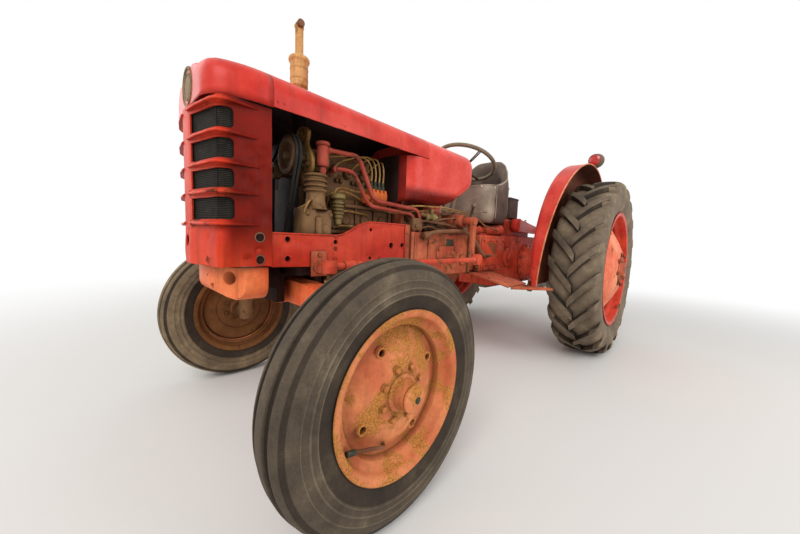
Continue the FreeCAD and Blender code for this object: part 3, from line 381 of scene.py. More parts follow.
def mix(tree, share, under, over, kind="MIX"):
    """One colour laid over another."""
    return node(tree, "Mix", {"data_type": "RGBA", "blend_type": kind, 0: share, 6: under, 7: over}).outputs[2]


def maths(tree, kind, a, b):
    return node(tree, "Math", {"operation": kind, 0: a, 1: b}).outputs[0]


def corner_dirt_and_shade(tree, reach, start, most, colour, corner_colour):
    """Darkens the corners towards a colour: dirt that stays there, and painted shade."""
    open_to = node(tree, "AmbientOcclusion", {"samples": 4, "Distance": reach}).outputs["AO"]
    return mix(tree, ramp(tree, open_to, (start, most), (0.9, 0.0)), colour, linear(corner_colour))


def bump(tree, height, strength, distance, under=None, invert=False):
    values = {"Strength": strength, "Distance": distance, "invert": invert, "Height": height}
    if under is not None:
        values["Normal"] = under
    return node(tree, "Bump", values).outputs[0]


def end_finish(tree, colour, roughness, normal, metallic=0.0, coat=0.0, specular=0.2):
    """The surface's shader and the material's output."""
    shader = node(tree, "BsdfPrincipled",
                  {"Metallic": metallic, "Coat Weight": coat, "Coat Roughness": 0.12,
                   "Specular IOR Level": specular, "Base Color": colour, "Roughness": roughness, "Normal": normal})
    node(tree, "OutputMaterial", {"Surface": shader.outputs[0]})


def weathered(name, paint, faded, rust_dark, rust_light, rust_share, corner_darkening, shine, cast, streaks, chips,
              rough=0.8, coat=0.0, metallic=0.0, wave=0.0, specular=0.16, deeper=()):
    """Painted or bare metal after years outdoors: two tones of paint, rust that eats in from
    patches and edges, dirt and painted shade in the corners, rain streaks and, on castings, a sandy grain. The
    deeper list holds (axis, from, to) in metres: where all are passed the paint is darker, as painted shade."""
    tree, where = new_finish(name)
    # cloudy change of tone over about 150 mm, and fine uneven brushing over about 15 mm
    cloud = clouds(tree, where, 6.5)
    fine = clouds(tree, where, 70.0, 5.0, 0.65)
    colour = mix(tree, 1.0, ramp(tree, cloud, (0.36, paint), (0.66, faded)),
                 ramp(tree, fine, (0.3, 0.93 - 0.2 * cast), (0.7, 1.02 + 0.1 * cast)), "MULTIPLY")
    # painted shade: darker where the place passes every span of the deeper list
    if deeper:
        share = span(tree, cloud, 0.7, 1.0, 0.3, 0.6)
        apart = node(tree, "SeparateXYZ", {0: where})
        for axis, low, high in deeper:
            passed = span(tree, apart.outputs[axis], 0.0, 1.0, low, high, "SMOOTHSTEP")
            share = maths(tree, "MULTIPLY", share, passed)
        dark = mix(tree, 1.0, colour, (0.22, 0.11, 0.12, 1), "MULTIPLY")
        colour = mix(tree, share, colour, dark)
    # rain streaks that run down, about 12 mm wide
    tall = node(tree, "Mapping", {"Scale": (40.0, 40.0, 3.2), "Vector": where}).outputs[0]
    runs = ramp(tree, clouds(tree, tall, 1.0, 4.0), (0.5, 0.0), (0.72, streaks))
    colour = mix(tree, runs, colour, linear("#6b3423"))
    # rust: patches of about 80 mm with ragged rims, wider along worn edges
    patch = clouds(tree, where, 12.0, 10.0, 0.68, 0.4)
    soft = node(tree, "Bevel", {"samples": 4, "Radius": 0.006})
    shape = node(tree, "NewGeometry")
    bend = node(tree, "VectorMath", {"operation": "DOT_PRODUCT", 0: soft.outputs[0], 1: shape.outputs["Normal"]})
    edge = ramp(tree, bend.outputs["Value"], (0.9, 0.3), (0.995, 0.0))
    total = maths(tree, "ADD", patch, maths(tree, "MULTIPLY", fine, 0.22 * chips))
    total = maths(tree, "ADD", total, maths(tree, "MULTIPLY", edge, chips))
    start = 0.80 + 0.11 * chips - 0.5 * rust_share
    eaten = ramp(tree, total, (start, 0.0), (start + 0.07, 1.0))
    grit = clouds(tree, where, 240.0, 3.0, 0.7)
    colour = mix(tree, eaten, colour, ramp(tree, grit, (0.36, rust_dark), (0.62, rust_light)))
    # dirt and painted shade in the corners
    colour = corner_dirt_and_shade(tree, 0.05, 0.35, corner_darkening, colour, "#2c1d14")
    level = node(tree, "Mix", {"data_type": "FLOAT", 0: eaten, 2: shine, 3: rough}).outputs[0]
    level = maths(tree, "ADD", level, span(tree, fine, -0.03 - 0.04 * cast, 0.05 + 0.1 * cast))
    # relief: broad waves in sheet metal, sandy grain in castings, pits where rust has eaten
    relief = bump(tree, clouds(tree, where, 4.0, 1.0), wave, 0.02)
    relief = bump(tree, grit, 0.06 + 0.7 * cast, 0.0012, relief)
    relief = bump(tree, eaten, 0.5, 0.0006, relief, True)
    end_finish(tree, colour, level, relief, metallic, coat, specular)


def rubber(name, base, worn, dust, scale=1.0):
    """Old tyre rubber: dull grey brown with dried mud, paler where it rubs and fine cracks."""
    tree, where = new_finish(name)
    cloud = clouds(tree, where, 9.0, 9.0, 0.68)
    fine = clouds(tree, where, 160.0, 6.0, 0.75)
    colour = mix(tree, 1.0, ramp(tree, cloud, (0.34, base), (0.55, worn), (0.72, dust)),
                 ramp(tree, fine, (0.32, 0.84), (0.68, (1.1, 1.09, 1.07))), "MULTIPLY")
    # fine cracks, a mesh of about 12 mm
    cracks = node(tree, "TexVoronoi", {"feature": "DISTANCE_TO_EDGE", "Scale": 90.0 * scale, "Vector": where})
    lines = ramp(tree, cracks.outputs[0], (0.0, 0.28), (0.04, 0.0))
    # dark cracks, and dirt and painted shade in the corners
    colour = corner_dirt_and_shade(tree, 0.04, 0.3, 0.6, mix(tree, lines, colour, linear("#2a2520")), "#241e19")
    relief = bump(tree, lines, 0.2, 0.0008, bump(tree, fine, 0.2, 0.001), True)
    end_finish(tree, colour, span(tree, cloud, 0.68, 0.88), relief)


def simple(name, low, high, roughness, grain, relief=0.2, metallic=0.0, coat=0.0):
    """A plain material in two close tones with a grain of its own size in millimetres."""
    tree, where = new_finish(name)
    cloud = clouds(tree, where, 1000.0 / grain)
    end_finish(tree, ramp(tree, cloud, (0.35, low), (0.65, high)),
               span(tree, cloud, roughness - 0.08, roughness + 0.1),
               bump(tree, clouds(tree, where, 350.0, 3.0), relief, 0.001), metallic, coat)


def finned_core(name):
    """A radiator core: dark folded fins about 3 mm apart, clogged with dust."""
    tree, where = new_finish(name)
    wave = node(tree, "TexWave", {"bands_direction": "Z", "Scale": 100.0, "Distortion": 0.6, "Detail": 2.0,
                                  "Vector": where}).outputs["Fac"]
    dust = clouds(tree, where, 14.0)
    metal = ramp(tree, wave, (0.25, "#151412"), (0.8, "#4a4438"))
    end_finish(tree, mix(tree, dust, metal, linear("#3c362c")), span(tree, dust, 0.55, 0.9),
               bump(tree, wave, 0.8, 0.002), 0.2)


def vinyl(name, low, high, worn):
    """Coated seat cloth: a fine pebble grain of about 2 mm, gone pale where it is rubbed."""
    tree, where = new_finish(name)
    cloud = clouds(tree, where, 9.0, 8.0)
    pebble = node(tree, "TexVoronoi", {"Scale": 420.0, "Vector": where}).outputs[0]
    colour = mix(tree, 1.0, ramp(tree, cloud, (0.35, low), (0.58, high), (0.75, worn)),
                 ramp(tree, pebble, (0.0, 0.8), (0.7, 1.08)), "MULTIPLY")
    relief = bump(tree, pebble, 0.25, 0.0008, bump(tree, clouds(tree, where, 22.0, 3.0), 0.25, 0.006))
    end_finish(tree, colour, span(tree, cloud, 0.46, 0.68), relief)


# What a user would change
class TractorSettings(bpy.types.PropertyGroup):
    front_tyre_radius: bpy.props.FloatProperty(
        name="Front tyre radius", description="Radius over the front tyre's ribs", default=0.347,
        unit="LENGTH", subtype="DISTANCE")
    rear_tyre_radius: bpy.props.FloatProperty(
        name="Rear tyre radius", description="Radius over the rear tyre's bars", default=0.590,
        unit="LENGTH", subtype="DISTANCE")
    bars_a_side: bpy.props.IntProperty(
        name="Bars a side", description="Tread bars on each side of a rear tyre", default=20, min=8, max=30)
    bonnet_half_width: bpy.props.FloatProperty(
        name="Bonnet half width", description="From the middle to the bonnet's side", default=0.220,
        unit="LENGTH", subtype="DISTANCE")
    bonnet_top: bpy.props.FloatProperty(
        name="Bonnet height", description="Top of the nose cap above the ground", default=1.240,
        unit="LENGTH", subtype="DISTANCE")
    steering_wheel_radius: bpy.props.FloatProperty(
        name="Steering wheel radius", description="To the middle of the rim's bar", default=0.193,
        unit="LENGTH", subtype="DISTANCE")
    floor_colour: bpy.props.FloatVectorProperty(
        name="Floor", description="Colour of the plain floor", subtype="COLOR", size=4, min=0.0, max=1.0,
        default=linear("#e6e4e0"))


def sizes():
    """The user's sizes, with lengths in metres."""
    return bpy.context.scene.tractor_settings


# Finishes
class TRACTOR_OT_finishes(bpy.types.Operator):
    """Makes every finish of the tractor"""
    bl_idname = "tractor.finishes"
    bl_label = "Finishes"

    def execute(self, context):
        # name, paint, faded paint, dark and light rust, share of rust, corner dirt and painted shade, shine, cast
        # grain, streaks, chips
        for *look, more in (
                # brushed enamel on sheet metal: bright, glossy, with small chips
                ("red_enamel_sheet", "#c92f24", "#e24d3e", "#4a2318", "#8a4428", 0.34, 0.6, 0.34, 0.0, 0.3, 0.4,
                 {"coat": 0.06, "wave": 0.25}),
                # the same enamel, older, on the side rails and on the grille shell; darkest on the shell's sides above
                # its lowest panel, as painted shade
                ("red_enamel_worn", "#c03020", "#de4c30", "#3a1a13", "#85402a", 0.40, 0.75, 0.38, 0.0, 0.45, 0.5,
                 {"wave": 0.25}),
                ("red_enamel_shell", "#cc3220", "#e64c2e", "#34150e", "#7d3c26", 0.36, 0.6, 0.42, 0.0, 0.4, 0.3,
                 {"specular": 0.08, "wave": 0.3,
                  "deeper": ((1, SHELL_BACK - 0.15, SHELL_BACK - 0.105), (2, 0.58, 0.78))}),
                # glossy enamel on the tank, the best kept sheet of all, made bright on its sides as painted light and
                # darker underneath as painted shade
                ("red_enamel_gloss", "#da3a2e", "#f05c4e", "#58201a", "#93412c", 0.22, 0.45, 0.26, 0.0, 0.1, 0.2,
                 {"coat": 0.12, "wave": 0.3, "deeper": ((2, 1.0, 0.955),)}),
                # grimy red paint on the pipes and the canister
                ("grimy_red_paint", "#973528", "#bd5645", "#3c2018", "#7c4630", 0.5, 0.8, 0.5, 0.0, 0.35, 0.5,
                 {"rough": 0.55}),
                # orange red enamel on the cast weight and axle
                ("orange_enamel_cast", "#f4602e", "#ff8c56", "#5a2a18", "#a0552e", 0.26, 0.6, 0.4, 0.35, 0.3, 0.5, {}),
                # enamel on rough iron castings, with oil and soil baked on
                ("red_enamel_cast", "#cb4029", "#e25f42", "#4e2b1b", "#a66038", 0.48, 0.7, 0.45, 0.6, 0.5, 0.7, {}),
                ("rusty_red_casting", "#b54c36", "#d27650", "#4a2a1b", "#9c623b", 0.52, 0.75, 0.55, 0.8, 0.5, 0.8, {}),
                # paint gone, rust over the whole sheet, as on undersides and the backs of the front rims
                ("rusty_underside", "#5f3224", "#80462e", "#34190f", "#7a482c", 0.50, 0.7, 0.7, 0.5, 0.3, 0.6, {}),
                ("brown_rim_back", "#6b4426", "#8f5f36", "#40281a", "#80512e", 0.50, 0.7, 0.7, 0.5, 0.3, 0.6, {}),
                # painted shade: nearly black, for faces inside the sheet metal, under the frame, behind the weight and
                # on parts under the bonnet
                ("dark_underside", "#1d110e", "#2e1a15", "#160e0b", "#36221a", 0.40, 0.6, 0.75, 0.3, 0.2, 0.3, {}),
                # bare and oily iron castings: brown with old ochre paint left in places
                ("oily_cast_iron", "#6f4e34", "#936d48", "#33241a", "#7a4e2c", 0.48, 0.85, 0.5, 0.8, 0.4, 0.6, {}),
                ("olive_cast_iron", "#7c6a3e", "#a3905a", "#3a2b1c", "#75512f", 0.44, 0.8, 0.5, 0.6, 0.4, 0.6, {}),
                ("brown_cast_iron", "#73543a", "#9a764c", "#42301f", "#80572f", 0.44, 0.8, 0.5, 0.6, 0.4, 0.6, {}),
                ("ochre_cast_iron", "#8f6632", "#b08448", "#4a3420", "#8a5c30", 0.44, 0.8, 0.5, 0.6, 0.4, 0.6, {}),
                # front rims: thin salmon paint over even rust
                ("rusty_rim_paint", "#cf6f48", "#ee9a66", "#9a5a2c", "#cf9048", 0.62, 0.6, 0.6, 0.5, 0.2, 0.6, {}),
                # rear rims: sun bleached red paint, gone pink
                ("faded_rim_paint", "#e4694a", "#fda27a", "#86452c", "#bd7644", 0.40, 0.65, 0.5, 0.3, 0.25, 0.45, {}),
                # exhaust: burnt off paint, dry ochre rust all over
                ("burnt_steel", "#d09a60", "#efbb7e", "#8e6036", "#c48a4e", 0.50, 0.55, 0.7, 0.6, 0.3, 0.6, {}),
                ("dull_steel", "#6e5c4c", "#8d7a68", "#4a2f20", "#86583a", 0.46, 0.8, 0.45, 0.4, 0.3, 0.6,
                 {"metallic": 0.4}),
                ("brown_pedal_iron", "#6b4630", "#8f6244", "#40271b", "#7d4c31", 0.4, 0.6, 0.5, 0.4, 0.2, 0.5, {}),
                ("orange_pump_paint", "#d86226", "#f08038", "#5a2e1a", "#9b5630", 0.32, 0.75, 0.4, 0.4, 0.3, 0.5, {})):
            weathered(*look, **more)
        # name, base, worn, dust and how much finer the cracks are
        for look in (("front_tyre_rubber", "#463c32", "#5e5244", "#80725e"),
                     # paler copy for the right tyre: painted light
                     ("dusty_tyre_rubber", "#5e5141", "#857259", "#aa9474"),
                     ("tyre_ring_rubber", "#564b3e", "#726654", "#8c7f6c"),
                     # painted shade for the tyres' grooves, beads and bar sides
                     ("dark_rubber", "#302822", "#42382e", "#5c4f40"),
                     ("rear_tyre_rubber", "#64574a", "#857460", "#a8957a", 0.8),
                     ("rear_bar_rubber", "#584c40", "#766857", "#94846d", 0.8),
                     ("belt_rubber", "#1e1c1a", "#2c2926", "#4a443c", 1.5)):
            rubber(*look)
        finned_core("radiator_core")
        # name, darker and lighter tone, roughness, grain in millimetres, relief, metallic and coat
        for look in (("dark_sheet", "#4a423b", "#6a6056", 0.6, 30.0, 0.3),
                     ("pale_rivet", "#b8ae9c", "#dad2c2", 0.35, 8.0, 0.1, 0.3),
                     ("screen_cloth", "#0d0b0a", "#1e1b18", 0.8, 30.0, 0.4),
                     ("screen_wire", "#25221d", "#4a463b", 0.7, 22.0, 0.3),
                     # painted shade for the hollow behind the grille
                     ("black_hollow", "#0d0b0a", "#1c1815", 0.85, 40.0),
                     ("copper_pipe", "#8a6434", "#b98f56", 0.42, 25.0, 0.1, 0.3),
                     ("hard_rubber_rim", "#6b5c48", "#8b7c66", 0.45, 12.0, 0.15),
                     ("badge_metal", "#66523a", "#988058", 0.6, 9.0, 0.6),
                     ("red_lens", "#a01512", "#d2322a", 0.12, 20.0, 0.05, 0.0, 0.8),
                     ("dark_fitting", "#2b2a22", "#4a4a38", 0.5, 8.0, 0.3),
                     ("lamp_housing", "#5a4838", "#7d6850", 0.5, 12.0, 0.3)):
            simple(*look)
        # pale and dark vinyl, which on the seat shell also stand for painted light and painted shade
        vinyl("seat_vinyl_dark_and_shaded", "#4c3f38", "#66574c", "#837264")
        vinyl("seat_vinyl_pale_and_lit", "#877868", "#a69583", "#bfae9a")
        return {"FINISHED"}


# Outlines and circles of places
def other_side(points):
    """The points of a profile on the other side of its middle, in reverse order."""
    return [(-a, b) for a, b in reversed(points)]


def around(count, radius, start, y, z):
    """Places evenly spread on a circle about y and z, the first one start degrees round."""
    turns = [math.radians(start + 360.0 * k / count) for k in range(count)]
    return [(y + radius * math.cos(a), z + radius * math.sin(a)) for a in turns]


# Wheels
class TRACTOR_OT_front_tyres(bpy.types.Operator):
    """Makes the ribbed front tyres"""
    bl_idname = "tractor.front_tyres"
    bl_label = "Front tyres"

    def execute(self, context):
        big = sizes().front_tyre_radius * 1000.0
        rim = 220.0
        half = [(50, rim - 15.4), (54, rim - 15.4), (56, rim - 3), (57.5, rim + 4), (61, rim + 14), (65, rim + 26),
                (68, rim + 36), (68.8, rim + 37.4), (70.4, rim + 38.4), (70.4, rim + 41), (69.4, rim + 42.4),
                (70.2, rim + 53.2), (71.6, rim + 54.2), (71.6, rim + 57), (70.5, rim + 58.2), (70.3, rim + 74.6),
                (70.8, rim + 75.4), (70.8, rim + 77.2), (69.8, rim + 78.4), (68.2, rim + 86), (64.6, big - 30),
                (61.6, big - 25.4), (58.8, big - 23), (57.4, big - 19.6), (56.4, big - 14), (52, big - 10.6),
                (46, big - 7.8), (40, big - 5.6), (35.4, big - 4.6), (34.4, big - 5.4), (33.4, big - 8),
                (32.4, big - 11), (30.4, big - 12.4), (20.8, big - 12.4), (18.8, big - 11), (17.4, big - 6),
                (16.6, big - 1.8), (15.2, big - 0.4), (12, big), (0, big)]
        profile = half + other_side(half[:-1])
        for side, sign in SIDES:
            s = Shape()
            s.lathe(profile, (FRONT_X, 0, FRONT_Z), steps=160)
            for f in s.bm.faces:
                c = f.calc_center_median()
                off, r = abs(c.x - FRONT_X), math.hypot(c.y, c.z - FRONT_Z)
                # thin rubbed rings on the wall, then painted shade on the bead, in the grooves and on the shoulder
                if off > 70.3 and min(abs(r - rim - d) for d in (39.7, 55.6, 76.9)) < 2:
                    f.material_index = 1
                elif r < rim + 31 or big - 13 < r < big - 6 and off < 34 or big - 26 < r < big - 15:
                    f.material_index = 2
            # the right tyre is paler than the left: painted light
            base = "front_tyre_rubber" if side == "left" else "dusty_tyre_rubber"
            s.sided(sign).piece("front_tyre_skin_" + side, [base, "tyre_ring_rubber", "dark_rubber"],
                                "wheel_front_" + side, "tyre", ["front_tyre_" + side], smooth=50.0)
        return {"FINISHED"}


class TRACTOR_OT_front_wheels(bpy.types.Operator):
    """Makes the front rims with their discs, hubs, bolts and valves"""
    bl_idname = "tractor.front_wheels"
    bl_label = "Front wheels"

    def execute(self, context):
        rim = 220.0
        half = [(55, rim - 14), (56.5, rim - 5), (58.5, rim - 0.5), (61, rim), (62.5, rim - 2), (62, rim - 7),
                (59.5, rim - 16), (57, rim - 20), (50, rim - 22.5), (40, rim - 24), (35, rim - 27), (31, rim - 36),
                (27.5, rim - 45), (22, rim - 48)]
        inner = other_side(half)
        back = [(-18, rim - 43.5), (18, rim - 43.5), (24, rim - 41), (32, rim - 22), (36, rim - 20), (52, rim - 17)]
        disc = [(3, rim - 46), (3, 150), (8, 140), (20, 122), (30, 78), (30, 49), (42, 49), (43, 52), (43, 70),
                (40, 76), (36, 92), (31, 118), (24, 136), (12, 152), (9, 160), (9, rim - 46)]
        hub = [(-34, 20.4), (-34, 42), (-28, 45), (18, 52), (41, 52), (46, 50), (49, 44), (50, 38), (56, 37),
               (80, 35.5), (84, 37), (88, 37), (91, 34), (94, 30), (95.5, 22), (97.5, 12), (98, 0), (90, 0), (90, 20.4)]
        centre = (FRONT_X, 0, FRONT_Z)
        eyes = around(4, 130, 28, 0, FRONT_Z)
        for side, sign in SIDES:
            s = Shape()
            s.lathe(half + inner + back, centre, steps=144, closed=True)
            face = Shape()
            face.lathe(disc, centre, steps=120, closed=True)
            holes = Shape()
            for y, z in eyes:
                holes.rod((FRONT_X - 30, y, z), (FRONT_X + 60, y, z), 9, steps=28)
            face.cut(holes)
            s.join(face.bm)
            s.lathe(hub, centre, steps=64, closed=True)
            for y, z in eyes:
                s.lathe([(25, 9.4), (28.5, 9.8), (30, 12), (29, 15), (23, 18)], (FRONT_X, y, z), steps=28)
            for y, z in around(8, 68, 18, 0, FRONT_Z):
                s.bolt((FRONT_X + 42, y, z), (1, 0, 0), 8.5, 9.0)
                s.bolt((FRONT_X - 14, y, z), (-1, 0, 0), 8.5, 8.0)
            s.lathe([(-4, 46), (-4, 104), (-10, 108), (-14, 104), (-14, 52), (-26, 46)], centre, steps=64, closed=True)
            s.paint = 1
            s.rod((FRONT_X + 96, 0, FRONT_Z), (FRONT_X + 99, 0, FRONT_Z), 9, steps=20, bevel=0.8)
            s.rod((FRONT_X + 48, -152, FRONT_Z - 86), (FRONT_X + 48, -176, FRONT_Z - 80), 7, steps=16, bevel=1.0)
            s.paint = 3
            s.pipe([(FRONT_X + 14, -40, FRONT_Z - 132), (FRONT_X + 40, -52, FRONT_Z - 126),
                    (FRONT_X + 48, -104, FRONT_Z - 102), (FRONT_X + 48, -156, FRONT_Z - 85)], 4.5, sides=12)
            s.paint = 2
            s.lathe([(-6, 50), (-6, 166), (-2, 166), (-2, 50)], centre, steps=64, closed=True)
            s.repaint(2, lambda f, c: f.material_index == 0 and (f.normal.x < -0.3 or c.x < FRONT_X - 8))
            s.sided(sign).piece("front_rim_" + side,
                                ["rusty_rim_paint", "dark_fitting", "brown_rim_back", "brown_pedal_iron"],
                                "wheel_front_" + side, "rusty_rim", ["front_wheel_" + side], smooth=40.0)
        return {"FINISHED"}


class TRACTOR_OT_rear_tyres(bpy.types.Operator):
    """Makes the rear tyres with their chevron bars"""
    bl_idname = "tractor.rear_tyres"
    bl_label = "Rear tyres"

    def execute(self, context):
        big = sizes().rear_tyre_radius * 1000.0
        count = sizes().bars_a_side
        base, rim = big - 29.0, 385.0
        half = [(112, rim - 18.6), (119, rim - 18.6), (121.5, rim + 2), (124, rim + 12), (130, rim + 30),
                (136.5, rim + 48), (141.2, rim + 68), (143.3, rim + 86), (143.5, rim + 100), (142, rim + 114),
                (138.5, base - 54), (133, base - 40), (125.5, base - 28), (116, base - 19.5), (100, base - 11.5),
                (80, base - 6), (50, base - 2), (0, base)]
        profile = half + other_side(half[:-1])
        # one bar in stations: offset, degrees round, top radius, foot radius, half width in degrees
        stations = ((-13, -1.2, big - 1.5, base - 9, 2.0), (-11, -0.9, big - 0.4, base - 9, 2.5),
                    (6, 1.5, big, base - 9, 2.7), (34, 4.8, big, base - 10, 2.7), (64, 8.2, big - 1.5, base - 13, 2.7),
                    (92, 11.2, big - 5, base - 18, 2.75), (112, 13.2, big - 11, base - 28, 2.8),
                    (126, 14.6, big - 21, base - 42, 2.8), (136, 15.6, big - 36, base - 58, 2.8),
                    (140.5, 16.2, big - 56, base - 74, 2.6), (141.5, 16.8, big - 84, base - 92, 2.0))
        step = 360.0 / count
        for side, sign in SIDES:
            s = Shape()
            s.lathe(profile, (REAR_X, REAR_Y, REAR_Z), steps=160)
            s.paint = 1
            for way in (1, -1):
                rings = []
                for a, turn, top, foot, w in stations:
                    ring = []
                    for r, dw in ((foot, w + 0.4), (top - 2.5, w + 0.05), (top, w - 0.22), (top, 0.22 - w),
                                  (top - 2.5, -w - 0.05), (foot, -w - 0.4)):
                        ang = math.radians(turn + dw)
                        ring.append(Vector((a * way, -r * math.cos(ang), r * math.sin(ang))))
                    rings.append(ring)
                # the inner side's bars stand between those of the outer side
                for k in range(count):
                    spin = math.radians(step * (k if way > 0 else k + 0.5))
                    turned = Matrix.Translation((REAR_X, REAR_Y, REAR_Z)) @ Matrix.Rotation(spin, 4, "X")
                    s.loft([[turned @ p for p in ring] for ring in rings])
            # bar tops keep the bar rubber and their feet below the tread the tyre's; the bars' sides are painted shade
            s.bm.normal_update()
            for f in s.bm.faces:
                c = f.calc_center_median() - Vector((REAR_X, REAR_Y, REAR_Z))
                c.x = 0.0
                if f.material_index and (f.normal.dot(c.normalized()) > 0.75 or c.length < base):
                    f.material_index = 1 if c.length > base else 0
                elif f.material_index:
                    f.material_index = 2
            s.sided(sign).piece("rear_tyre_skin_" + side, ["rear_tyre_rubber", "rear_bar_rubber", "dark_rubber"],
                                "wheel_rear_" + side, "tyre", ["rear_tyre_" + side], smooth=48.0)
        return {"FINISHED"}


class TRACTOR_OT_rear_wheels(bpy.types.Operator):
    """Makes the rear rims with their discs and hub bolts"""
    bl_idname = "tractor.rear_wheels"
    bl_label = "Rear wheels"

    def execute(self, context):
        rim = 385.0
        half = [(119.5, rim - 18), (121.5, rim - 6), (124, rim - 0.8), (127, rim), (129.6, rim - 1.5),
                (130, rim - 6), (128, rim - 18), (126, rim - 27), (119, rim - 30), (90, rim - 32), (84, rim - 34),
                (72, rim - 47), (66, rim - 53), (58, rim - 54)]
        inner = other_side(half)
        back = [(-60, rim - 48), (60, rim - 48), (66, rim - 44), (82, rim - 27), (90, rim - 25), (114, rim - 21)]
        disc = [(21, rim - 51), (29, rim - 78), (60, 272), (90, 218), (118, 166), (136, 128), (141, 112), (141, 52),
                (150, 52), (150, 112), (147, 124), (127, 172), (98, 226), (68, 280), (39, rim - 78), (31, rim - 51)]
        hub = [(96, 26.5), (96, 86), (104, 88), (140, 94), (152, 92), (155, 88), (157, 66), (160, 60), (170, 53),
               (174, 48), (176, 30), (176, 0), (162, 0), (162, 26.5)]
        for side, sign in SIDES:
            s = Shape()
            centre = (REAR_X, REAR_Y, REAR_Z)
            for s.paint, profile in ((2, half + inner + back), (0, disc), (3, hub)):
                s.lathe(profile, centre, steps=128, closed=True)
            for y, z in around(8, 103, 10, REAR_Y, REAR_Z):
                s.bolt((REAR_X + 149, y, z), (1, 0, 0), 12.0, 11.0)
                s.rod((REAR_X + 158, y, z), (REAR_X + 166, y, z), 6, steps=12)
            for y, z in around(6, 302, 15, REAR_Y, REAR_Z):
                s.bolt((REAR_X + 52, y, z), (1, 0, 0), 11.0, 10.0)
            s.paint = 1
            s.rod((REAR_X + 174, REAR_Y, REAR_Z), (REAR_X + 177.5, REAR_Y, REAR_Z), 20, steps=24, bevel=1.0)
            s.pipe([(REAR_X + 60, REAR_Y - 150, REAR_Z + 296), (REAR_X + 84, REAR_Y - 150, REAR_Z + 300),
                    (REAR_X + 108, REAR_Y - 148, REAR_Z + 304)], 5, sides=12)
            s.sided(sign).piece("rear_rim_" + side,
                                ["faded_rim_paint", "dull_steel", "red_enamel_worn", "rusty_red_casting"],
                                "wheel_rear_" + side, "rear_rim", ["rear_wheel_" + side], smooth=40.0)
        return {"FINISHED"}


# Front sheet metal
FIN_Z = (1104.0, 1021.0, 939.0, 859.0, 770.0)
NOSE_Y, JOINT_Y = -333.0, -153.0


def rounded_path(points, radius, n=5):
    """An open path whose inner corners are rounded by arcs of straight runs."""
    pts = [Vector(p) for p in points]
    out = [pts[0]]
    for before, here, after in zip(pts, pts[1:], pts[2:]):
        one, two = (before - here), (after - here)
        run = min(radius, 0.49 * one.length, 0.49 * two.length)
        p, q = here + one.normalized() * run, here + two.normalized() * run
        for k in range(n + 1):
            t = k / n
            out.append(p * (1 - t) ** 2 + here * 2 * t * (1 - t) + q * t * t)
    out.append(pts[-1])
    return out


def spaced(path, gap):
    """More points along a path, none further apart than gap."""
    out = [path[0]]
    for p, q in zip(path, path[1:]):
        n = max(1, math.ceil((q - p).length / gap))
        out += [p.lerp(q, k / n) for k in range(1, n + 1)]
    return out


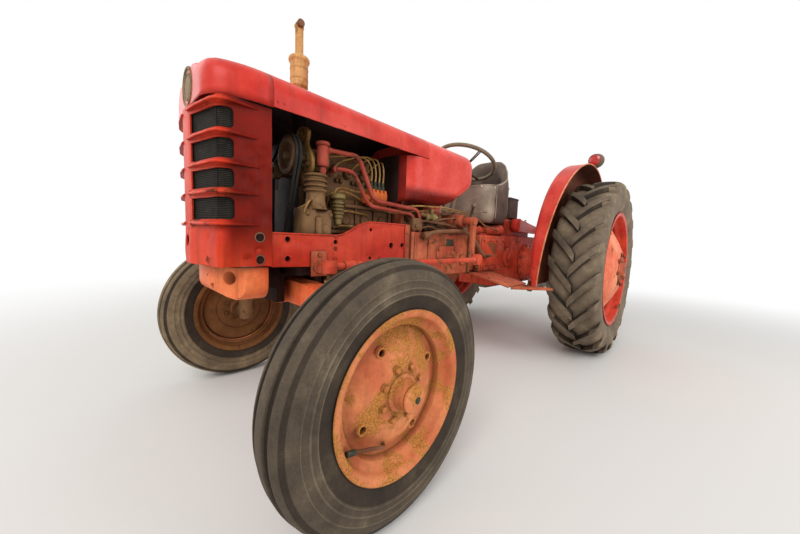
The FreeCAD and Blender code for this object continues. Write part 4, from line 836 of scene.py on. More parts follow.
class TRACTOR_OT_grille(bpy.types.Operator):
    """Makes the grille shell with its windows, fins and dents"""
    bl_idname = "tractor.grille"
    bl_label = "Grille shell"

    def execute(self, context):
        w = 205.0
        half = [(0, NOSE_Y), (35, NOSE_Y), (w - 32, NOSE_Y + 30), (w - 9, NOSE_Y + 38), (w, NOSE_Y + 62),
                (w, JOINT_Y)]
        path = spaced(rounded_path([(x, y, 0) for x, y in half], 14.0), 9.0)
        path = [Vector((-p.x, p.y, 0)) for p in reversed(path[1:])] + path
        low_edge, tall = 645.0, 473.0
        sheet = Shape()
        rings = []
        for z in [low_edge + tall * k / 60 for k in range(61)]:
            # the lowest panel swells, with an upright ridge at each corner and a hollow behind it
            low = 1.0 / (1.0 + math.exp((z - 742.0) / 7.0))
            swell = 3.0 * math.exp(-((z - 690.0) / 40.0) ** 2)
            ring = []
            for p in path:
                back = p.y - NOSE_Y
                ridge = 9.0 * math.exp(-((back - 40.0) / 12.0) ** 2) - 6.0 * math.exp(-((back - 74.0) / 16.0) ** 2)
                way = Vector((math.copysign(1.0, p.x), -0.6, 0)) * ridge * low
                ring.append(p + way + Vector((0, -swell if p.y < NOSE_Y + 40 else 0, z)))
            rings.append(ring)
        sheet.loft(rings, caps=False, closed=False)
        random.seed(11)
        spots = [(w, -215, 985, 26, 5), (w, -192, 968, 18, 7), (w, -178, 990, 20, 5), (w, -208, 955, 18, 7),
                 (w, -228, 900, 22, 6), (w, -195, 880, 18, 5), (w, -180, 935, 22, 6), (w, -192, 690, 20, 7),
                 (w, -212, 682, 16, -5), (w, -226, 668, 18, 8), (w, -200, 664, 14, -4),
                 (w - 60, NOSE_Y + 20, 730, 20, 3), (w, -168, 800, 30, 5), (-w, -200, 820, 40, 4),
                 (-w, -190, 700, 30, 4)]
        spots += [(sign * w, random.uniform(-260, -165), random.uniform(660, 1090), random.uniform(14, 34),
                   random.uniform(-1.8, 2.4)) for sign in (1, -1) for _ in range(14)]
        # the sheet's faces look away from a place behind its middle
        sheet.bm.normal_update()
        behind = Vector((0, -200, 0))
        flat = Vector((1, 1, 0))
        if sum(f.normal.dot((f.calc_center_median() - behind) * flat) for f in sheet.bm.faces) < 0:
            bmesh.ops.reverse_faces(sheet.bm, faces=sheet.bm.faces)
        sheet.dent(spots)
        sheet.thicken(4.0)
        holes = Shape()
        for upper, lower in zip(FIN_Z, FIN_Z[1:]):
            for sign in (1, -1):
                x0, x1 = sorted((sign * 48.0, sign * (w + 20.0)))
                part = bmesh.new()
                z0, z1 = lower + 11.0, upper - 16.0
                place = Matrix.Translation(((x0 + x1) / 2, NOSE_Y + 27.0, (z0 + z1) / 2))
                bmesh.ops.create_cube(part, size=1.0, matrix=place @ Matrix.Diagonal((x1 - x0, 94.0, z1 - z0, 1)))
                edges = [e for e in part.edges if abs((e.verts[0].co - e.verts[1].co).x) > 10
                         and e.verts[0].co.y > NOSE_Y + 30]
                bmesh.ops.bevel(part, geom=edges, offset=13.0, offset_type="OFFSET", segments=6, profile=0.5,
                                affect="EDGES", material=-1)
                holes.take(part)
        holes.rod((0, NOSE_Y - 20, 716), (0, NOSE_Y + 20, 716), 19, steps=28)
        for z in (733.0, 664.0):
            holes.rod((-w - 20, -190, z), (w + 20, -190, z), 12, steps=24)
        sheet.cut(holes)
        # the faces inside the shell are painted shade
        sheet.line_with(2, (0.0, -200.0, None))
        # fins: pressed lips that stand out from the sheet and fade into its sides. Their line holds
        # (x, y, how far out, how tall), their section (share of the way out, height)
        line = [(30, NOSE_Y + 1, 6.0, 0.75), (60, NOSE_Y + 6, 9.0, 0.95), (105, NOSE_Y + 15, 13.0, 1.0),
                (150, NOSE_Y + 25, 14.0, 1.0), (w - 25, NOSE_Y + 32, 16.0, 1.0), (w - 8, NOSE_Y + 40, 17.0, 1.0),
                (w - 1, NOSE_Y + 56, 16.0, 1.0), (w, NOSE_Y + 80, 13.5, 0.95), (w, NOSE_Y + 105, 9.0, 0.8),
                (w, NOSE_Y + 128, 4.0, 0.55), (w, NOSE_Y + 142, 0.6, 0.3)]
        section = ((-0.35, 11.0), (0.2, 7.0), (0.7, 3.4), (0.95, 1.6), (1.04, -1.0), (1.03, -4.0), (0.92, -5.5),
                   (0.6, -4.4), (0.1, -5.0), (-0.35, -8.0))
        for z in FIN_Z:
            for sign in (1, -1):
                rings = []
                for k, (x, y, out, tall) in enumerate(line):
                    a = Vector(line[max(k - 1, 0)][:2])
                    b = Vector(line[min(k + 1, len(line) - 1)][:2])
                    way = (b - a).normalized()
                    normal = Vector((way.y, -way.x))
                    ring = []
                    for share, dz in section:
                        reach = share * out if share > 0 else share * 6.0
                        ring.append(Vector((sign * (x + normal.x * reach), y + normal.y * reach, z + dz * tall)))
                    rings.append(ring)
                sheet.loft(rings)
        # grey worn rims round the side holes, with painted shade inside
        for sign in (1, -1):
            for z in (733.0, 664.0):
                sheet.paint = 1
                sheet.lathe([(sign * -3.0, 12.4), (sign * 1.0, 12.6), (sign * 1.0, 15.0), (sign * -0.5, 16.0)],
                            (sign * w, -190, z), steps=28)
                sheet.paint = 2
                sheet.rod((sign * (w - 4), -190, z), (sign * (w - 2.6), -190, z), 12.8)
        sheet.piece("grille_sheet", ["red_enamel_shell", "dull_steel", "dark_underside"], "chassis", "red_paint",
                    ["grille_shell"], smooth=34.0)
        # dark screen close behind the windows
        s = Shape()
        inner = [p for p in path if p.y < NOSE_Y + 150]
        s.loft([[Vector((p.x * 0.955, p.y * 0.955 - 5.0, z)) for p in inner] for z in (780.0, 1096.0)], caps=False,
               closed=False)
        bmesh.ops.solidify(s.bm, geom=s.bm.faces[:], thickness=2.0)
        s.paint = 1
        for k in range(62):
            ring = [Vector((p.x * 0.962, p.y * 0.962 - 5.2, 783.0 + 5.0 * k)) for p in inner]
            s.loft([ring, [p + Vector((0, 0, 1.5)) for p in ring]], caps=False, closed=False)
        s.piece("grille_screen", ["screen_cloth", "screen_wire"], "chassis", "red_paint")
        return {"FINISHED"}


# The hood's shoulder begins SHOULDER below its top, is ROUND wide and ends CROWN below the middle
SHOULDER, ROUND, CROWN = 78.0, 82.0, 4.0


def over_the_top(right, w, top, side):
    """Ends an outline's right half with a rounded shoulder and a low crown, and adds the left half."""
    for k in range(1, 13):
        a = math.radians(7.5 * k)
        right.append((w - ROUND + ROUND * math.cos(a) ** 0.92, side + (top - CROWN - side) * math.sin(a) ** 0.92))
    edge = right[-1][0]
    for k in range(1, 7):
        x = edge * (1 - k / 6.0)
        right.append((x, top - CROWN * (x / edge) ** 2))
    return right + other_side(right[:-1])


def hood_ring(y, w, top, low):
    """The hood's outline across the tractor at y, from its left lower edge over the top."""
    side = top - SHOULDER
    right = [(w, low), (w, low + (side - low) * 0.5), (w, side)]
    return [Vector((x, y, z)) for x, z in over_the_top(right, w, top, side)]


class TRACTOR_OT_hood(bpy.types.Operator):
    """Makes the nose cap with its plain round badge, and the bonnet behind it"""
    bl_idname = "tractor.hood"
    bl_label = "Nose cap and bonnet"

    def execute(self, context):
        w, top = sizes().bonnet_half_width * 1000.0, sizes().bonnet_top * 1000.0
        low = 1119.0
        front = NOSE_Y + 8.0
        s = Shape()
        # stations behind the front: distance, half width, how far the top is down
        rows = [(0.0, 128, 26), (1.5, 140, 18), (5, 153, 11), (12, 168, 5.5), (22, 181, 2.5), (38, 194, 0.8),
                (56, 202.5, 0.2), (80, 210, 0), (104, 216, 0), (130, 219.4, 0), (150, 220, 0), (171.6, 220, 0)]
        rings = [hood_ring(front + d, w * half / 220.0, top - down, low) for d, half, down in rows]
        # a raised ridge runs from the badge over the top and dies out towards the bonnet
        for ring, (d, _, down) in zip(rings, rows):
            for p in ring:
                if p.z > top - down - 12.0:
                    lift = 8.0 * min(1.0, max(0.0, (72.0 - abs(p.x)) / 24.0))
                    p.z += (lift - 7.0 * math.exp(-((abs(p.x) - 92.0) / 20.0) ** 2)) * max(0.0, 1.0 - d / 165.0)
        s.loft(rings, caps=False, closed=False)
        # the blunt front closes on the smallest ring
        part = bmesh.new()
        first = [part.verts.new(p) for p in rings[0]]
        part.faces.new(first)
        bmesh.ops.inset_region(part, faces=part.faces[:], thickness=14.0, depth=0.0)
        s.take(part)
        bmesh.ops.remove_doubles(s.bm, verts=s.bm.verts, dist=0.05)
        bmesh.ops.recalc_face_normals(s.bm, faces=s.bm.faces)
        s.face_up()
        s.dent([(120, front + 20, 1215, 40, 2.5), (205, -225, 1180, 36, 1.5)])
        s.piece("nose_cap_sheet", ["red_enamel_sheet", "badge_metal"], "chassis", "red_paint", ["nose_cap"],
                smooth=60.0, thick=3.5)
        # badge: a bare disc in a raised ring
        s = Shape()
        for profile in ([(6, 58), (-1, 58), (-4, 56), (-4.5, 53), (-3, 50.5), (-1, 49.5), (-0.2, 47), (-1.4, 30),
                         (-2, 12), (-2.2, 0)], [(-2.6, 40), (-3.6, 38.5), (-3.6, 36.5), (-2.2, 35)]):
            s.lathe(profile, (0, NOSE_Y + 9, 1182), axis="y", steps=64)
        s.piece("round_badge", ["badge_metal"], "chassis", "red_paint")
        # bonnet
        s = Shape()
        rings = []
        end_y, end_top = 575.0, 1229.8
        for k in range(25):
            y = JOINT_Y + 0.6 + (end_y - JOINT_Y - 0.6) * k / 24.0
            t = (y - JOINT_Y) / (end_y - JOINT_Y)
            rings.append(hood_ring(y, w, top + (end_top - top) * t, 1122.0))
        s.loft(rings, caps=False, closed=False)
        s.face_up()
        s.dent([(220, 60, 1150, 60, 1.6), (220, 300, 1140, 70, 1.8), (-220, 200, 1150, 70, 2),
                (150, 250, 1225, 60, 1.2)])
        s.thicken(3.5)
        hole = Shape()
        hole.rod((0, 38, 1150), (0, 38, 1300), 29, steps=40)
        s.cut(hole)
        # the bonnet's inside faces are painted shade
        s.line_with(1, (0.0, None, 1100.0))
        for y in (-140.0, -120.0):
            for sign in (1, -1):
                s.bolt((sign * 220, y, 1140), (sign, 0, 0), 3.0, 2.0)
        s.piece("bonnet_sheet", ["red_enamel_sheet", "dark_underside"], "chassis", "red_paint", ["bonnet"], smooth=50.0)
        return {"FINISHED"}


class TRACTOR_OT_tank(bpy.types.Operator):
    """Makes the fuel tank and the cowl that carries the bonnet's line back"""
    bl_idname = "tractor.tank"
    bl_label = "Tank cowl"

    def execute(self, context):
        top0, top1, y0, y1 = 1229.4, 1224.0, 575.0, 985.0
        half_width, floor, rear_round = 220.0, 925.0, 55.0

        def ring(y, inset, top, belly):
            """A closed outline: flat sides, a full rounded belly and the hood's shoulders."""
            w, low = half_width - inset, belly + inset * 0.4
            side = top - SHOULDER - inset * 0.4
            r = 56.0 - inset * 0.5
            turns = [math.radians(11.25 * k - 90.0) for k in range(9)]
            right = [(w - r + r * math.cos(a), low + r + r * math.sin(a)) for a in turns]
            crease = min(low + r + 22, side - 22)
            right += [(w - 0.6, crease), (w, crease + 14), (w, (crease + side) / 2), (w, side)]
            return [Vector((x, y, z)) for x, z in over_the_top(right, w, top - inset, side)]

        def rise(y):
            """How far the belly has come up at y, near the rear end."""
            return 122.0 * max(0.0, (y - y1 + 240.0) / 240.0) ** 1.35

        s = Shape()
        rings = []
        # the front stands back under the bonnet, with broad rounded corners
        for k in range(11):
            a = math.radians(9.0 * k)
            inset = 110.0 * (1 - math.sin(a))
            rings.append(ring(425.0 + 115.0 * (1 - math.cos(a)), inset, 1228.0, floor - inset * 0.75))
            for p in rings[-1]:
                p.z = min(p.z, 1119.0)
        rings.append([Vector((p.x, y0, p.z)) for p in rings[-1]])
        s.loft(rings)
        rings = []
        for k in range(15):
            y = y0 + (y1 - rear_round - y0) * k / 14.0
            rings.append(ring(y, 0.0, top0 + (top1 - top0) * (y - y0) / (y1 - y0), floor + rise(y)))
        for k in range(1, 11):
            a = math.radians(9.0 * k)
            y = y1 - rear_round + rear_round * math.sin(a)
            rings.append(ring(y, 42.0 * (1 - math.cos(a)), top1, floor + rise(y)))
        s.loft(rings)
        for x in (-60.0, 60.0):
            s.lathe([(0, 0), (-3, 0), (-3, 9), (-1, 12), (2, 12)], (x, 700, 927), axis="z", steps=20)
        # painted shade: a darkened red near the front, under the bonnet, and nearly black on the front itself
        s.repaint(2, lambda f, c: c.y < 462)
        s.repaint(1, lambda f, c: c.y < 436)
        s.piece("tank_cowl_sheet", ["red_enamel_gloss", "dark_underside", "red_enamel_shell"], "chassis", "red_paint",
                ["tank_cowl"], smooth=48.0)
        return {"FINISHED"}


class TRACTOR_OT_radiator(bpy.types.Operator):
    """Makes the radiator with its finned core"""
    bl_idname = "tractor.radiator"
    bl_label = "Radiator"

    def execute(self, context):
        s = Shape()
        s.box(-166, 166, -291, -234, 673, 1059, 1.0)
        for k in range(17):
            x = -160 + 20.0 * k
            s.rod((x, -292, 673), (x, -292, 1059), 1.6, steps=8)
        for k in range(64):
            z = 676 + 6.0 * k
            s.box(-166, 166, -294.0, -290, z, z + 1.4, 0.0)
        # nearly black tanks and frame round the core, and plates reaching just inside the shell's side windows: painted
        # shade of the hollow behind the grille
        s.paint = 1
        s.box(-176, 176, -296, -224, 1060, 1111, 10.0, segments=3)
        s.box(-176, 176, -296, -224, 653, 672, 3.0)
        for sign in (1, -1):
            s.box(sign * 168, sign * 176, -295, -225, 660, 1100, 1.5)
            s.box(sign * 168, sign * 200.5, -262, -240, 770, 1100, 1.0)
        s.rod((0, -262, 1110), (0, -262, 1117), 24, steps=32, bevel=2.0)
        s.piece("radiator_body", ["radiator_core", "black_hollow"], "chassis", "radiator", ["radiator"])
        return {"FINISHED"}


# Frame and engine
class TRACTOR_OT_front_frame(bpy.types.Operator):
    """Makes the side rails, cross members and the cast weight"""
    bl_idname = "tractor.front_frame"
    bl_label = "Front frame and weight"

    def execute(self, context):
        s = Shape()
        s.copy("front_frame", 2.2, segments=3)
        for sign in (1, -1):
            x = sign * 201.0
            way = (sign, 0, 0)
            for y, z, r in ((-101, 730, 9), (-101, 666, 9), (433, 716, 13), (364, 715, 12)):
                s.lathe([(0, r), (sign * 0.8, r + 0.4), (sign * 0.8, r + 4), (0, r + 5)], (x, y, z), steps=24)
            # a thin sheet just inside each rail, painted shade
            s.paint = 1
            s.box(sign * 186, sign * 189.5, -120, 445, 650, 735, 1.0)
            s.paint = 0
            for y, z, r in ((82, 745, 5), (82, 700, 5), (82, 662, 5), (300, 660, 5)):
                s.bolt((x, y, z), way, r, 3.5)
            s.paint = 2
            s.box(sign * 204, sign * 209, -20, 42, 602, 692, 3.0)
            s.lathe([(0, 22), (sign * 4, 21), (sign * 5, 16), (sign * 2, 12), (sign * 2, 0)],
                    (sign * 209, 10, 634), steps=24)
            s.bolt((sign * 209, 12, 676), way, 6, 4)
            s.paint = 0
            # the bright folded edge along the rail's top
            edge = [(-214, 745), (-150, 750), (90, 750), (125, 758), (165, 780), (205, 800), (246, 810), (454, 810)]
            s.pipe([(sign * 200, y, z - 2.2) for y, z in edge], 3.4, bend=16.0, sides=8)
            s.box(sign * 200, sign * 205, 446, 454, 600, 806, 1.5)
        # between the rails: painted shade underneath, rusty above
        s.repaint(1, lambda f, c: abs(c.x) < 194 and c.z < 648 and f.material_index == 0)
        s.repaint(2, lambda f, c: abs(c.x) < 194 and f.material_index == 0)
        s.piece("front_frame_casting", ["red_enamel_worn", "dark_underside", "rusty_red_casting"], "chassis",
                "red_paint", ["front_frame"])
        s = Shape()
        s.copy("front_weight", 4.0, segments=3, flat=0.5)
        # the weight's back part is painted shade
        s.repaint(1, lambda f, c: c.y > -157)
        s.piece("front_weight_casting", ["orange_enamel_cast", "dark_underside"], "chassis", "orange_paint",
                ["front_weight"])
        return {"FINISHED"}


class TRACTOR_OT_engine(bpy.types.Operator):
    """Makes the engine block with its head, covers, studs and small fittings"""
    bl_idname = "tractor.engine"
    bl_label = "Engine"

    def execute(self, context):
        s = Shape()
        s.copy("engine", 5.0, segments=3)
        x = 105.0
        # side covers with their bolts, ribs and core plugs on the left of the block
        s.box(x - 2, x + 7, 134, 372, 640, 748, 5.0)
        for y in range(146, 372, 36):
            for z in (650.0, 738.0):
                s.bolt((x + 7, y, z), (1, 0, 0), 6.0, 5.0)
        s.box(x - 2, x + 12, 20, 440, 758, 772, 4.0)
        s.box(x - 2, x + 9, 180, 440, 864, 880, 3.0)
        for y in (190, 290, 390):
            s.lathe([(0, 24), (5, 24), (6, 21), (3, 18), (2, 0)], (x, y, 818), steps=32)
        for y in (150, 240, 340, 430):
            s.box(x - 2, x + 8, y - 4, y + 4, 772, 900, 2.0)
        # head: injector bosses, studs and a rocker cover edge
        for k in range(4):
            y = 66 + 82 * k
            s.rod((26, y, 1000), (70, y, 1012), 17, steps=24, bevel=3)
            s.rod((60, y, 1010), (84, y, 1020), 9, steps=18, bevel=1.5)
            for off in (30, -30):
                s.bolt((51, y + off, 978), (1, 0, 0), 8.0, 9.0)
        for y in range(30, 372, 48):
            s.bolt((46, y, 1030), (0, 0, 1), 8.0, 10.0)
        s.box(-94, 42, 4, 370, 1029, 1040, 2.0)
        for y in (60, 190, 320):
            s.bolt((-26, y, 1085), (0, 0, 1), 9.0, 8.0)
        # front plate, and the heat shield beside it
        s.box(-100, 62, 0, 8, 920, 1088, 3.0)
        s.box(-204, -96, 3, 8, 814, 1118, 2.0)
        # faces looking forwards at the engine's front are painted shade
        s.repaint(1, lambda f, c: f.normal.y < -0.4 and c.y < 14)
        # manifold on the right side
        s.pipe([(-120, 40, 985), (-170, 60, 975), (-178, 200, 965), (-150, 345, 975)], 24, bend=50, sides=20)
        s.piece("engine_casting", ["oily_cast_iron", "dark_underside"], "chassis", "rusty_casting", ["engine"])
        # thin oil and fuel pipes on the block
        s = Shape()
        lines = [
            [(112, 96, 860), (132, 96, 905), (136, 150, 925), (124, 220, 915), (118, 262, 900)],
            [(140, 118, 905), (140, 118, 925), (128, 160, 940), (120, 240, 930), (118, 300, 952)],
            [(108, 130, 780), (124, 160, 790), (122, 300, 786), (112, 420, 800)],
            [(118, 390, 870), (150, 420, 860), (170, 560, 880), (175, 760, 905), (150, 960, 905)],
            [(118, 380, 900), (160, 430, 888), (190, 560, 905), (196, 760, 914), (176, 1010, 905)],
            [(106, 66, 830), (120, 100, 842), (118, 200, 850), (110, 300, 842)],
        ]
        for line in lines:
            s.pipe(line, 4.0, bend=22.0, sides=8)
        for k in range(4):
            y = 296.0 + 22 * k
            head = 66.0 + 82 * k
            high = 1086.0 - 8 * abs(k - 1.5)
            s.pipe([(138, y, 970), (140, y + 4, 1030), (134, y - 20 + 6 * k, high),
                    (104, (y + head) / 2 + 30, high + 2), (84, head + 26, 1050), (78, head, 1018)],
                   3.4, bend=34.0, sides=8)
        s.piece("thin_pipes", ["copper_pipe"], "chassis", "rusty_casting")
        return {"FINISHED"}


class TRACTOR_OT_belt_drive(bpy.types.Operator):
    """Makes the dynamo with its bracket, the fan, the pulleys and the twin belts"""
    bl_idname = "tractor.belt_drive"
    bl_label = "Dynamo, fan and belts"

    def execute(self, context):
        x, z = 100.0, 1022.0
        pulley = [(-62, 0), (-64, 0), (-64, 13), (-62, 16), (-55, 18), (-53, 22), (-52.5, 40), (-55, 44), (-60.5, 47),
                  (-62, 50), (-62.3, 58), (-61, 65), (-60, 66), (-56, 61), (-50, 60.5), (-48.6, 65), (-47.4, 65),
                  (-46, 60.5), (-40, 61), (-36, 66), (-34, 65), (-33.5, 50), (-36, 44), (-44, 42), (-44, 20),
                  (-34, 18), (-34, 0)]
        s = Shape()
        s.lathe(pulley, (x, 0, z), axis="y", steps=72)
        s.rod((x, -36, z), (x, 12, z), 14, steps=24)
        s.paint = 1
        s.lathe([(8, 0), (8, 30), (11, 35), (20, 36), (22, 34.5), (82, 34.5), (84, 36), (93, 36), (96, 31), (96, 0)],
                (x, 0, z), axis="y", steps=48)
        s.rod((x + 20, 86, z + 24), (x + 30, 86, z + 34), 6, steps=14, bevel=1)
        s.rod((x - 4, 88, z + 34), (x - 4, 88, z + 44), 6, steps=14, bevel=1)
        s.paint = 2
        # lobed cast bracket between the pulley and the dynamo
        lobes = [(33, 1120), (38, 1136), (60, 1144), (90, 1142), (112, 1134), (124, 1120), (120, 1098), (112, 1080),
                 (122, 1064), (140, 1044), (152, 1020), (154, 990), (144, 968), (120, 960), (98, 972), (86, 1000),
                 (80, 1030), (68, 1056), (62, 1084), (46, 1100)]
        s.plate(lobes, "y", 10, 24, 4.0, 3)
        for bx, bz, r, steps, head, tall in ((76, 1118, 15, 24, 8.0, 6.0), (128, 1000, 11, 20, 7.0, 5.0)):
            s.rod((bx, 4, bz), (bx, 14, bz), r, steps=steps, bevel=3)
            s.bolt((bx, 4, bz), (0, -1, 0), head, tall)
        s.box(58, 82, 8, 34, 900, 1000, 3.0)
        s.piece("dynamo_set", ["oily_cast_iron", "olive_cast_iron", "ochre_cast_iron"], "chassis", "rusty_casting",
                ["dynamo"])
        # fan and pulleys
        s = Shape()
        s.copy("fan_and_pulleys", 1.2)
        s.piece("fan_set", ["oily_cast_iron"], "chassis", "rusty_casting", ["fan_and_pulleys"])
        s = Shape()
        s.copy("belts", 2.2, flat=0.5)
        s.piece("belt_pair", ["belt_rubber"], "chassis", "belt", ["belts"], smooth=30)
        return {"FINISHED"}


class TRACTOR_OT_engine_gear(bpy.types.Operator):
    """Makes the air compressor, the filters and the injection pump"""
    bl_idname = "tractor.engine_gear"
    bl_label = "Compressor, filters and pump"

    def execute(self, context):
        cx, cy = 154.5, 25.0
        s = Shape()
        s.copy("air_compressor", 4.0, keep=lambda v: v.z < 844, segments=3)
        s.rod((164, 4, 735), (164, 4, 846), 21, steps=28, bevel=4)
        s.rod((176, 46, 760), (188, 46, 760), 26, steps=32, bevel=3)
        for y, z in ((-22, 726), (70, 726), (-20, 822), (70, 822)):
            s.bolt((184, y, z), (1, 0, 0), 6.5, 2.5)
        profile = [(838, 0), (838, 41), (846, 41), (850, 37), (885, 32.5), (896, 33)]
        for z in (900, 917, 934, 953):
            profile += [(z, 34), (z + 1, 40), (z + 2.5, 41.2), (z + 6, 41.2), (z + 7.5, 40), (z + 8.5, 34)]
        profile += [(963, 34), (964, 30), (964, 0)]
        s.lathe(profile, (cx, cy, 0), axis="z", steps=56)
        s.rod((186, 20, 744), (186, 20, 812), 15, 12, steps=24, bevel=4)
        s.box(cx - 30, 188, -30, 74, 720, 732, 4.0)
        s.rod((cx + 2, -18, 800), (cx + 16, -26, 812), 9, steps=18, bevel=2)
        s.paint = 1
        s.pipe([(cx + 14, -24, 812), (cx + 22, -30, 832), (cx + 26, -14, 866), (cx + 18, 0, 868), (cx + 8, -20, 850),
                (cx - 14, -34, 838)], 3.6, bend=18, sides=8)
        s.piece("compressor_set", ["brown_cast_iron", "copper_pipe"], "chassis", "rusty_casting", ["air_compressor"])
        # upright filter, red oil cylinder and pump
        s = Shape()
        profile = [(790, 0), (790, 13), (796, 15), (812, 15), (816, 19), (826, 20)]
        for k in range(4):
            z = 828 + 13 * k
            profile += [(z, 20), (z + 2, 24), (z + 8, 24), (z + 10, 20)]
        profile += [(884, 19), (888, 28), (902, 29), (905, 26), (905, 0)]
        s.lathe(profile, (158, 118, 0), axis="z", steps=40)
        s.rod((158, 118, 904), (158, 118, 914), 8, steps=6, bevel=1)
        s.box(105, 140, 106, 130, 862, 900, 3.0)
        s.paint = 1
        s.lathe([(964, 0), (964, 13), (992, 12), (994, 18), (1000, 21), (1062, 21), (1066, 19), (1068, 23), (1070, 25),
                 (1078, 25), (1080, 22), (1080, 0)], (158, 50, 0), axis="z", steps=40)
        s.rod((158, 50, 1056), (158, 82, 1058), 12, steps=24, bevel=2)
        s.paint = 2
        s.box(105, 160, 284, 374, 882, 942, 6.0, segments=3)
        for k in range(4):
            s.box(118, 161, 288 + 22 * k, 302 + 22 * k, 884, 950, 3.0)
        s.rod((134, 260, 908), (134, 286, 908), 19, steps=32, bevel=3)
        s.paint = 3
        for k in range(4):
            y = 296 + 22 * k
            s.rod((138, y, 944), (138, y, 966), 9.5, steps=6, bevel=1)
            s.rod((138, y, 964), (138, y, 984), 6.5, steps=14, bevel=1)
        s.bolt((161, 366, 900), (1, 0, 0), 6.0, 4.0)
        s.piece("fuel_set", ["olive_cast_iron", "grimy_red_paint", "orange_pump_paint", "dark_fitting"], "chassis",
                "rusty_casting", ["fuel_gear"])
        return {"FINISHED"}


class TRACTOR_OT_air_pipes(bpy.types.Operator):
    """Makes the two red pipes along the engine"""
    bl_idname = "tractor.air_pipes"
    bl_label = "Red pipes"

    def execute(self, context):
        s = Shape()
        s.pipe([(158, 72, 1058), (163, 150, 1060), (170, 202, 1062), (186, 272, 897), (188, 538, 884),
                (188, 560, 850), (188, 560, 780.5)], 9.0, bend=30, sides=20)
        s.pipe([(105.5, 114, 1000), (150, 114, 1000), (168, 150, 999), (174, 182, 990), (185, 246, 874),
                (184, 520, 860), (184, 520, 780.5)], 8.0, bend=30, sides=20)
        s.rod((106, 114, 1000), (116, 114, 1000), 15, steps=6, bevel=1.5)
        s.rod((120, 114, 1000), (150, 114, 1000), 12.5, steps=24, bevel=2)
        for x, y in ((188, 560), (184, 520)):
            s.rod((x, y, 784), (x, y, 800), 13, steps=6, bevel=1.5)
        s.piece("red_pipes", ["grimy_red_paint"], "chassis", "pipe_paint", ["air_pipes"])
        return {"FINISHED"}


class TRACTOR_OT_exhaust(bpy.types.Operator):
    """Makes the upright exhaust with its rain flap"""
    bl_idname = "tractor.exhaust"
    bl_label = "Exhaust"

    def execute(self, context):
        x, y = 0.0, 38.0
        s = Shape()
        # the lower part, under the bonnet, is painted shade
        s.paint = 2
        s.lathe([(1085, 0), (1085, 27), (1225, 27), (1225, 0)], (x, y, 0), axis="z", steps=40)
        s.paint = 0
        s.lathe([(1225, 0), (1225, 27), (1300, 27), (1308, 29), (1312, 33), (1396, 33), (1400, 34.5), (1404, 38),
                 (1408, 39), (1414, 38.5), (1418, 36), (1420, 30), (1423, 18), (1426, 15.5), (1440, 15), (1524, 15),
                 (1527, 17), (1534, 17), (1536, 15), (1536, 12.5), (1440, 12.5), (1440, 0)],
                (x, y, 0), axis="z", steps=56)
        for z in (1336.0, 1374.0):
            s.lathe([(z, 33), (z + 1, 34), (z + 3, 34), (z + 4, 33)], (x, y, 0), axis="z", steps=56)
        s.paint = 1
        s.rod((x - 16, y, 1537), (x + 25, y - 4, 1535.5), 12.5, 13.5, steps=24, bevel=2)
        s.rod((x + 10, y - 3, 1524), (x + 18, y - 3, 1548), 5, steps=14, bevel=1)
        s.pipe([(x - 15, y, 1530), (x - 20, y, 1538), (x - 16, y, 1546), (x - 4, y, 1547)], 3.0, sides=8)
        s.piece("exhaust_stack", ["burnt_steel", "brown_pedal_iron", "dark_underside"], "chassis", "exhaust",
                ["exhaust"])
        return {"FINISHED"}


